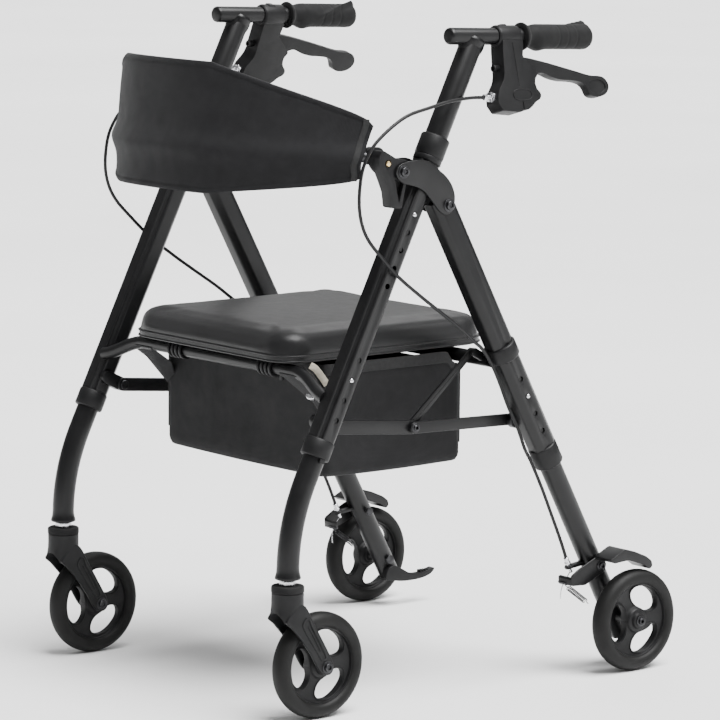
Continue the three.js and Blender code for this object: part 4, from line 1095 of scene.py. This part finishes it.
# ------------ rear legs
def rear_legs():
    """Leg tube with its button holes, the spreader's pivot, the collar and the snap button."""
    outer = leg_section(17.8, 19.5, 8.4)
    holes = button_holes(on_rear, REAR_LEG_HOLE_T, LEG_HOLE_PITCH, 4)
    leg = model(hollow(outer, [on_rear(-10), on_rear(436)]), 0.5, 2, holes)
    put_pair("rear_leg_tube", leg, "frame", "rear_frame", ["rear_leg_{}"])
    pivot = joined(disc_x(SPREADER_REAR, 12, 251.8, 262), disc_x(SPREADER_REAR, 3.6, 246, 262),
                   disc_x(SPREADER_REAR, 6.5, 244, 246.7))
    put_pair("rear_leg_pivot", model(pivot), "oxide", "rear_frame")
    collar = model(collar_shape(on_rear, REAR_DOWN, 418, 452, 21.6, 16.4))
    put_pair("rear_collar", collar, "plastic", "rear_frame", ["rear_leg_collar_{}"])
    put_pair("rear_leg_snap", model(snap_button(on_rear, REAR_LEG_HOLE_T + LEG_HOLE_PITCH, 6.8)),
             "zinc", "rear_leg_button_{}", ["rear_leg_button_{}"])


def rear_lower_legs():
    tube = [(14.4, 0), (16.1, 0), (16.1, 466), (15.4, 468.4), (13.6, 469), (4, 469), (4, 460), (14.4, 460)]
    mesh = model(lathe(tube, on_rear(295), REAR_DOWN, 48, closed=True))
    put_pair("rear_lower_tube", mesh, "frame", "rear_lower_{}", ["rear_lower_leg_{}"])
    axle = (0.0, WHEEL_R)
    boss = joined(disc_x(axle, 9, 284, 297.5, 1.0), disc_x(axle, 5, 252, 333))
    put_pair("rear_axle_boss", model(boss), "frame", "rear_lower_{}")
    bolts = joined(socket_bolt(axle, 330.6, 1, 5.4, 5.0), disc_x(axle, 8, 250.8, 256.5, 0.8, 6),
                   socket_bolt(rear_pivot(), 291.6, 1, 5.4, 4.2),
                   disc_x(rear_pivot(), 7, 247.5, 251.3, 0.6, 6), disc_x(rear_pivot(), 4, 248, 293))
    put_pair("rear_bolts", model(bolts, 0.35), "oxide", "rear_lower_{}")
    pedal = smooth_outline([(-10, 46), (6, 41.6), (30, 38.4), (60, 38.8), (80, 43), (89.5, 50), (88, 53.6),
                            (76, 50.4), (58, 47.8), (40, 50), (23, 59), (8, 65.6), (-5, 62)], 4)
    put_pair("tipping_pedal", model(plate(pedal, 249.2, 260.8), 1.4, 3), "plastic", "rear_lower_{}")
    treads = [plate([(y, 47.6 + abs(y - 70) * 0.02), (y + 2.4, 47.6), (y + 2.4, 52.2), (y, 52.2)], 250.4,
                    259.6)
              for y in (62, 67, 72, 77)]
    put_pair("pedal_treads", model(joined(*treads), 0.4), "plastic", "rear_lower_{}")
    top, foot = Vector((SIDE, -98.4, 174.6)), Vector((SIDE, -88, 153))
    direction = (foot - top).normalized()
    barrel = [(1.3, 0), (3.0, 0), (3.6, 0.5), (3.6, 7.2), (4.6, 7.6), (4.6, 10.2), (3.2, 10.6), (3.2, 19.4),
              (2.6, 20.2), (2.6, 25.6), (1.3, 25.6)]
    put_pair("cable_barrel", model(lathe(barrel, top, direction, 32, True)), "zinc",
             "rear_lower_{}")
    ring = [(3.4, 0), (6.6, 0), (7.0, 0.5), (7.0, 2.6), (6.6, 3.0), (3.4, 3.0)]
    stay = plate(bar_outline((-90, 160.5), (-60, 163.5), 2.4), SIDE - 5.5, SIDE + 5.5)
    holder = joined(lathe(ring, top + direction * 14, direction, 36, True), stay)
    put_pair("barrel_holder", model(holder, 0.5), "frame", "rear_lower_{}")


def rear_pivot():
    return on_rear(BRAKE_PIVOT_T)[1:]


def brake_arms():
    """Bent steel brake: a cheek beside the leg, a folded tab for the wire, and the shoe over the wheel."""
    cheek = [(-104, 150), (-89, 159), (-56, 173), (-40, 172), (-34, 160), (-38, 150), (-76, 133.5),
             (-103, 135)]
    tab = [(-104.4, 145.6), (-100, 148), (-99.4, 135.4), (-103.4, 135)]
    shoe = [(-58, 174), (-29, 187.5), (-10, 182), (14, 172), (25, 164), (27, 156), (21, 151.5), (10, 159.5),
            (-22, 170), (-50, 168)]
    cheek_mesh = model(plate(rounded(cheek, 3, 3), 288.4, 291.5), 1.0, 3)
    put_pair("brake_cheek", cheek_mesh, "frame", "brake_arm_{}", ["brake_arm_{}"])
    put_pair("brake_tab", model(plate(rounded(tab, 1, 2), 262, 290.6), 0.7), "frame", "brake_arm_{}")
    put_pair("brake_shoe", model(plate(rounded(shoe, 3, 3), 289, 326), 2.4, 4), "frame", "brake_arm_{}")
    clamp_at = (-101.6, 137.6)
    clamp = joined(disc_x(clamp_at, 3.7, 264, 279, 0.6, 6), disc_x(clamp_at, 2.4, 261, 282))
    put_pair("wire_clamp", model(clamp, 0.3), "oxide", "brake_arm_{}")
    put_pair("return_spring", model(return_spring()), "oxide", "rear_lower_{}")
    wire = [(271.5, -88.2, 153.6), (271.2, -96, 143), (270.5, -102, 134), (269.5, -105, 124),
            (268.5, -105, 113)]
    put_pair("inner_wire", model(sweep(catmull(wire, 4), circle(0.75, 8))), "zinc", "rear_lower_{}")


def return_spring():
    """A coil with a hook at each end."""
    steps, radius = 15 * 14, 3.7
    a, b = Vector((272, -99, 133)), Vector((272, -52, 99.5))
    side = Vector(X_AXIS)
    other = (b - a).normalized().cross(side)
    coil = []
    for k in range(steps + 1):
        t = 2 * math.pi * k / 14
        out = side * math.cos(t) + other * math.sin(t)
        coil.append(a + (b - a) * (0.14 + 0.72 * k / steps) + out * radius)
    hook = [a, a + (b - a) * 0.06, a + (b - a) * 0.12 + side * radius * 0.6]
    tail = [a + (b - a) * 0.88 + side * radius * 0.6, a + (b - a) * 0.94, b]
    return sweep(hook + coil + tail, circle(0.62, 6), up=(0.3, 0.5, 0.8))


# ------------ cross tubes, spreaders and link
def cross_tubes():
    """The front tube, whose ends dip to the legs, and the straight rear tube with its rings and link lugs."""
    y, z = CROSS_FRONT
    ends = [(264, -551, 454), (254, -549.8, 456.2), (241, -547.2, 460.6), (227, -544, 466.6),
            (212, -540.6, 473), (195, -538, 477.8), (174, y, z)]
    points = [(-a, b, c) for a, b, c in ends] + [(-90, y, z), (0, y, z), (90, y, z)] + ends[::-1]
    tube = model(sweep(catmull(points, 6), circle(9.5, 36), up=Z_AXIS))
    put("front_cross_bar", tube, "frame", "front_frame", ["front_cross_tube"])
    bar = model(lathe(rod(10, 510.4), (-255.2, *CROSS_REAR), X_AXIS, 40))
    put("rear_cross_bar", bar, "frame", "rear_frame", ["rear_cross_tube"])
    ring = collar_shape(on_rear, REAR_DOWN, 240, 264, 24, 18.5)
    lug = plate(bar_outline(CROSS_REAR, LINK_TOP, 6), 239.4, 246)
    put_pair("rear_clamp_ring", model(ring), "plastic", "rear_frame")
    put_pair("link_lug", model(lug, 0.8), "frame", "rear_frame")
    pin = joined(disc_x(LINK_TOP, 2.8, 234.5, 244), disc_x(LINK_TOP, 5.5, 233, 235.2, 0.6))
    put_pair("link_pin", model(pin), "oxide", "rear_frame")


def side_linkage():
    """Front and rear spreader bars side by side at their middle pivot, and the slit fold link."""
    front = model(plate(bar_outline(SPREADER_FRONT, SPREADER_MIDDLE, 10), 241.5, 246), 0.9, 3)
    put_pair("front_spreader_bar", front, "frame", "spreader_front_{}", ["spreader_front_{}"])
    bolt = joined(disc_x(SPREADER_MIDDLE, 4, 239.2, 252), socket_bolt(SPREADER_MIDDLE, 251.4, 1, 4.6, 3.6))
    put_pair("spreader_bolt", model(bolt, 0.3), "oxide", "spreader_rear_{}")
    rear = model(plate(bar_outline(SPREADER_REAR, SPREADER_MIDDLE, 8.5), 247, 251.5), 0.9, 3)
    put_pair("rear_spreader_bar", rear, "frame", "spreader_rear_{}", ["spreader_rear_{}"])
    a, b = Vector((0, *LINK_TOP)), Vector((0, *SPREADER_MIDDLE))
    across = Vector(X_AXIS).cross((b - a).normalized())
    corners = ((0.1, 0.7), (0.9, 0.7), (0.9, -0.7), (0.1, -0.7))
    slit = plate([tuple((a + (b - a) * t + across * w)[1:]) for t, w in corners], 238.3, 241)
    link = model(plate(bar_outline(LINK_TOP, SPREADER_MIDDLE, 5, 6), 235.5, 239), 0.7, 2, [slit])
    put_pair("link_bar", link, "frame", "fold_link_{}", ["fold_link_{}"])


# ------------ seat
def rounded_rectangle(half_width, y_front, y_rear, radius, steps=10, sides=10):
    """The outline from the front left corner on, with points along its corners and sides."""
    x = half_width - radius
    centres = [(x, y_front + radius, -90), (x, y_rear - radius, 0), (-x, y_rear - radius, 90),
               (-x, y_front + radius, 180)]
    corners = []
    for x, y, start in centres:
        angles = [math.radians(start + 90 * k / steps) for k in range(steps + 1)]
        corners.append([(x + radius * math.cos(t), y + radius * math.sin(t)) for t in angles])
    points = []
    for i, corner in enumerate(corners):
        points += corner
        a, b = Vector(corner[-1]), Vector(corners[(i + 1) % 4][0])
        points += [tuple(a.lerp(b, k / sides)) for k in range(1, sides)]
    return points


def seat_ring(inset, z):
    """The seat's outline at a height, drawn in by an inset."""
    line = rounded_rectangle(SEAT_HALF_WIDTH - inset, SEAT_FRONT_Y + inset, SEAT_REAR_Y - inset,
                             SEAT_CORNER - inset)
    return [(x, y, z) for x, y in line]


def seat_core():
    """The pad before its foam swells: straight sides, a lip below and a rounded shoulder."""
    rings = [seat_ring(inset, z) for inset, z in
             ((8, 494.4), (3.0, 494.6), (1.4, 496.4), (1.2, 503), (1.6, 512), (2.8, 520), (5.6, 527),
              (10, 531.6), (16, 534.4), (24, 535.8), (36, 536.4))]
    middle_y = (SEAT_FRONT_Y + SEAT_REAR_Y) / 2
    outer = rings[-1]
    for share in (0.8, 0.6, 0.4, 0.2):
        crown = 536.6 + 1.2 * (1 - share)
        rings.append([(x * share, middle_y + (y - middle_y) * share, crown) for x, y, _ in outer])
    return skin(rings)


def swell(obj, pressure, cap, frames=20):
    """Foam filling: remesh, cloth under pressure with no weight, movement capped, applied."""
    remesh = obj.modifiers.new("remesh", "REMESH")
    remesh.mode = "VOXEL"
    remesh.voxel_size = VOXEL
    mesh = baked(obj)
    soft = bpy.data.objects.new("swelling", mesh)
    bpy.context.scene.collection.objects.link(soft)
    rest = [v.co.copy() for v in mesh.vertices]
    group = soft.vertex_groups.new(name="held")
    lowest = min(p.z for p in rest)
    group.add([i for i, p in enumerate(rest) if p.z < lowest + 0.009], 1.0, "REPLACE")
    cloth = soft.modifiers.new("cloth", "CLOTH")
    settings = cloth.settings
    settings.quality = 4
    settings.mass = 0.4
    settings.tension_stiffness = settings.compression_stiffness = 30
    settings.shear_stiffness = 12
    settings.bending_stiffness = 2
    settings.use_pressure = True
    settings.uniform_pressure_force = pressure
    settings.vertex_group_mass = "held"
    settings.effector_weights.gravity = 0.0
    cloth.collision_settings.use_collision = False
    cloth.point_cache.frame_start, cloth.point_cache.frame_end = 1, frames
    for step in range(1, frames + 1):
        bpy.context.scene.frame_set(step)
    bpy.context.view_layer.update()
    swollen = soft.evaluated_get(bpy.context.evaluated_depsgraph_get()).to_mesh()
    places = [v.co.copy() for v in swollen.vertices]
    soft.modifiers.clear()
    for vertex, start, end in zip(mesh.vertices, rest, places):
        move = end - start
        vertex.co = start + move * min(1.0, cap / max(move.length, 1e-9))
    bpy.context.scene.frame_set(1)
    smooth = soft.modifiers.new("smooth", "SMOOTH")
    smooth.factor, smooth.iterations = 0.5, 4
    finer = soft.modifiers.new("finer", "SUBSURF")
    finer.levels = finer.render_levels = 1
    result = baked(soft)
    result.shade_smooth()
    return result


def seat():
    """Swollen cushion, two welts round its lip, the ribbed board, and clips over the front cross tube."""
    core = seat_core()
    mesh = swell(raw_object("seat_core", core), pressure=3.0, cap=0.0025)
    pad = put("seat_cushion", mesh, "vinyl", "seat", ["seat_pad"])
    loops = [seat_ring(0.2, z) for z in WELT_Z]
    welts = [sweep(loop + loop[:1], circle(1.3, 10), up=Z_AXIS, caps=False) for loop in loops]
    put("seat_welt", model(joined(*welts)), "vinyl", "seat")
    lip = [seat_ring(inset, z) for inset, z in ((6, 493.9), (1.8, 493.9), (0.7, WELT_Z[1]), (0.9, 498.6),
                                                (0.7, WELT_Z[0]), (1.8, 503.2), (6, 503.2))]
    put("seat_lip", model(skin(lip, caps=False, closed=True), 0.3), "vinyl", "seat")
    board = skin([seat_ring(8, z) for z in SEAT_BOARD_Z])
    put("seat_board", model(board, 0.8), "plastic", "seat", ["seat_pan"])
    section = ((-2.5, 491.4), (-1.6, 486.5), (1.6, 486.5), (2.5, 491.4))
    ribs = [plate([(SEAT_FRONT_Y + 100 + row * 70 + u, w) for u, w in section], -150, 150)
            for row in range(4)]
    put("seat_board_ribs", model(joined(*ribs), 0.6), "plastic", "seat")
    y, z = CROSS_FRONT
    ring = [(10.3, 0), (13.0, 0), (13.6, 0.8), (13.6, 4.4), (13.0, 5.2), (10.3, 5.2)]
    neck = [(y - 9, z + 9), (y + 9, z + 9), (y + 9, SEAT_BOARD_Z[0]), (y - 9, SEAT_BOARD_Z[0])]
    for side, label in SIDES:
        parts = []
        for x in ((104 if side > 0 else 77) + 9 * k for k in range(4)):
            parts += [lathe(ring, (x, y, z), X_AXIS, 36, True), plate(neck, x + 0.6, x + 4.6)]
        clips = moved(joined(*parts), lambda a, b, c: (side * a, b, c))
        put(f"seat_clip_{label}", model(clips, 0.5), "plastic", "seat")
    peg = lathe([(0, 0), (3.2, 0), (3.2, 9), (2.6, 10), (0, 10.2)], (148, y, z - 6), (0, 0, -1), 24)
    put("cross_bar_peg", model(peg), "plastic", "front_frame")


# ------------ bag
def bag_outline(grow=0.0):
    out = grow - BAG_INSET
    return rounded_rectangle(BAG_HALF_WIDTH + out, BAG_FRONT_Y - out, BAG_REAR_Y + out, BAG_CORNER, 8, 26)


def bag_height(y, z):
    """The rear wall hangs below the rear cross tube, so heights shrink towards it."""
    share = clamped((y - BAG_REAR_Y + 34) / 20)
    share = share * share * (3 - 2 * share)
    low = (BAG_REAR_TOP_Z - BAG_BOTTOM_Z) / (BAG_TOP_Z - BAG_BOTTOM_Z)
    return BAG_BOTTOM_Z + (z - BAG_BOTTOM_Z) * (1 - share * (1 - low))


def bag_shape():
    """Open shell, lofted down from its hem, with walls that belly and crease, and a floor that sags."""
    rings = []
    middle_y = (BAG_FRONT_Y + BAG_REAR_Y) / 2
    deep = BAG_TOP_Z - BAG_BOTTOM_Z - 2
    for z in (BAG_TOP_Z - deep * k / 30 for k in range(31)):
        depth = (BAG_TOP_Z - z) / deep
        belly = math.sin(math.pi * min(1, depth * 1.04))
        ease = math.sin(math.pi * clamped(depth)) ** 0.7
        tuck = 3.0 * max(0.0, (depth - 0.93) / 0.07) ** 2
        row = []
        for x, y in bag_outline():
            across, along = abs(x), abs(y - middle_y)
            side_share = max(0.0, 1 - (along / 118) ** 2) * (across > BAG_HALF_WIDTH - 22)
            front_share = max(0.0, 1 - (across / 176) ** 2) * (along > 105)
            crease = noise.noise(Vector((x * 0.014, y * 0.014, z * 0.018 + 3))) * 3.2
            crease += noise.noise(Vector((x * 0.045, y * 0.045, z * 0.03)))
            side_move = side_share * (-4.0 * belly + crease * ease) - tuck * (across > BAG_HALF_WIDTH - 14)
            front_move = front_share * (-3.4 * belly + crease * ease) - tuck * (along > 114)
            x += math.copysign(1, x) * side_move
            y += math.copysign(1, y - middle_y) * front_move
            row.append((x, y, bag_height(y, z) - 1.6 * depth * (side_share + front_share)))
        rings.append(row)
    last = rings[-1]
    for inset, drop in ((0.990, 2.2), (0.972, 3.4), (0.94, 4.4), (0.85, 5.4), (0.7, 6.0), (0.5, 6.2),
                        (0.3, 6.2), (0.12, 6.2)):
        row = []
        for x, y, z in last:
            across, along = x * inset, (y - middle_y) * inset
            sag = noise.noise(Vector((across * 0.02, along * 0.02, 9))) * 1.6 * (1 - inset)
            row.append((across, middle_y + along, z - drop * 0.45 + sag))
        rings.append(row)
    points, faces = skin(rings, caps=False)
    return points, faces + [tuple(range(len(points) - len(last), len(points)))]


def bag_piping():
    """A seam down each corner."""
    section = oval(1.6, 2.6, 12)
    inward = BAG_INSET + 3.52
    seams = []
    for sx in (1, -1):
        for y, sy, top in ((BAG_FRONT_Y, 1, 482), (BAG_REAR_Y, -1, 462)):
            x0, y0 = sx * (BAG_HALF_WIDTH - inward), y + sy * inward
            line = [(x0 + sx * 0.2, y0 - sy * 0.2, z) for z in (top, 440, 400, 360, 350)]
            seams.append(sweep(catmull(line, 5), section))
    return joined(*seams)


def bag_fastenings():
    """On each side a tab over the cross tube with its snap, and the pale edge of the left one."""
    tab = [(152, -546, 476), (206, -547, 476), (212, -530, 462), (203, -512, 440), (192, -503, 420),
           (178, -502, 432), (160, -522, 458)]
    cap = [(0, -4), (7.2, -4), (7.6, 0.7), (7.4, 1.8), (6.0, 2.8), (3.4, 3.3), (0, 3.4)]
    tabs = []
    for side, label in SIDES:
        drop = Vector((0, 0, 0)) if side > 0 else Vector((6, 15, -8))
        points = [Vector((side * x, y, z)) + (drop if k > 1 else Vector()) for k, (x, y, z) in enumerate(tab)]
        shape = skin([[(x, y + lift, z) for x, y, z in points] for lift in (-1.0, 1.0)])
        tabs.append(put(f"bag_tab_{label}", model(shape, 0.4), "nylon", "front_frame"))
        at = Vector((side * 187, -513.2, 444.7)) + drop
        facing = Vector((side * 0.3, -0.8, 0.45)).normalized()
        snap = model(lathe(cap, at + facing * 2.0, facing, 36))
        put(f"bag_snap_{label}", snap, "zinc", "front_frame")
    edge = catmull([(191, -520, 489), (196, -514, 484), (201, -508, 474), (205, -500, 461)], 5)
    tape = sweep(edge, [(-0.7, -5), (0.7, -5), (0.7, 5), (-0.7, 5)], up=(0.3, -0.8, 0.45))
    put("bag_edge_tape", model(tape, 0.3), "cream", "front_frame")
    return tabs


def bag():
    """The bag's own pieces, all carried by the front frame."""
    obj = raw_object("bag_skin", bag_shape())
    solidify = obj.modifiers.new("thick", "SOLIDIFY")
    solidify.thickness = 0.0016
    solidify.offset = 0
    mesh = baked(obj)
    mesh.shade_smooth()
    shell = put("bag_shell", mesh, "nylon", None, ["bag"])
    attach(shell, "front_frame")
    section = ((0.4, 0.2), (0.4, 1.3), (-1, 1.8), (-15, 1.7), (-16.4, 0.9), (-16.4, -1.6), (-8, -1.8),
               (-1, -1.6))
    hem = [[(x, y, bag_height(y, BAG_TOP_Z + rise)) for x, y in bag_outline(grow)] for rise, grow in section]
    hem_obj = put("bag_hem", model(skin(hem, caps=False, closed=True), 0.4), "tape", None)
    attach(hem_obj, "front_frame")
    seam_obj = put("bag_piping", model(bag_piping()), "tape", None)
    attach(seam_obj, "front_frame")
    return [shell, hem_obj, seam_obj] + bag_fastenings()


# ------------ cables
UPPER_ROUTE = [
    (296.5, -293.6, 866.4), (297, -319, 867), (298, -357, 864), (299, -394, 857), (300, -432, 849),
    (301, -459, 837), (301, -486, 819), (301, -504, 801), (301, -518, 774), (301, -523, 735),
    (300, -518, 704), (298, -504, 678), (296, -479, 652), (295, -459, 633), (294, -439, 616),
    (293, -400, 588), (291, -361, 562), (288, -322, 536), (285, -293, 514), (282, -276, 502)]
LOWER_ROUTE = [
    (277, -252, 475), (276, -238, 451), (276, -220, 413), (276, -203, 383), (276, -194, 364),
    (276, -186, 346), (276, -173, 325), (275, -151, 285), (273, -131, 246), (272, -112, 207),
    (271.5, -101, 182), (271.5, -98.3, 174.8)]
LOOP_TURN = 9


def cables():
    """Jacketed brake cable in three stretches, each crossing one joint."""
    fine = catmull(UPPER_ROUTE + LOWER_ROUTE, 6)
    turn, hand_over = LOOP_TURN * 6, len(UPPER_ROUTE) * 6
    stretches = (("loop", fine[:turn + 1], "handle_{}", "front_frame", ["brake_cable_upper_{}"]),
                 ("span", fine[turn:hand_over + 1], "front_frame", "rear_frame", []),
                 ("tail", fine[hand_over:], "rear_frame", "rear_lower_{}", ["brake_cable_lower_{}"]))
    for name, line, first, second, nodes in stretches:
        mesh = model(sweep(line, circle(CABLE_R, 16)))
        for sign, side in SIDES:
            piece = put(f"cable_{name}_{side}", mesh if sign > 0 else mirrored(mesh), "cable", None)
            if nodes:
                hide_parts(*[n.format(side) for n in nodes])
            start, end = (Vector(to_row((sign * p[0], p[1], p[2]))) for p in (line[0], line[-1]))
            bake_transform(piece)
            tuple(start)
            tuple(end)


camera()
studio()
handle_uprights()
grips()
brake_housings()
brake_levers()
front_legs()
front_lower_legs()
wheels()
caster_forks()
hinges()
backrest_brackets()
backrest()
rear_legs()
rear_lower_legs()
brake_arms()
cross_tubes()
side_linkage()
seat()
for fabric in bag():
    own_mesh(fabric)
cables()
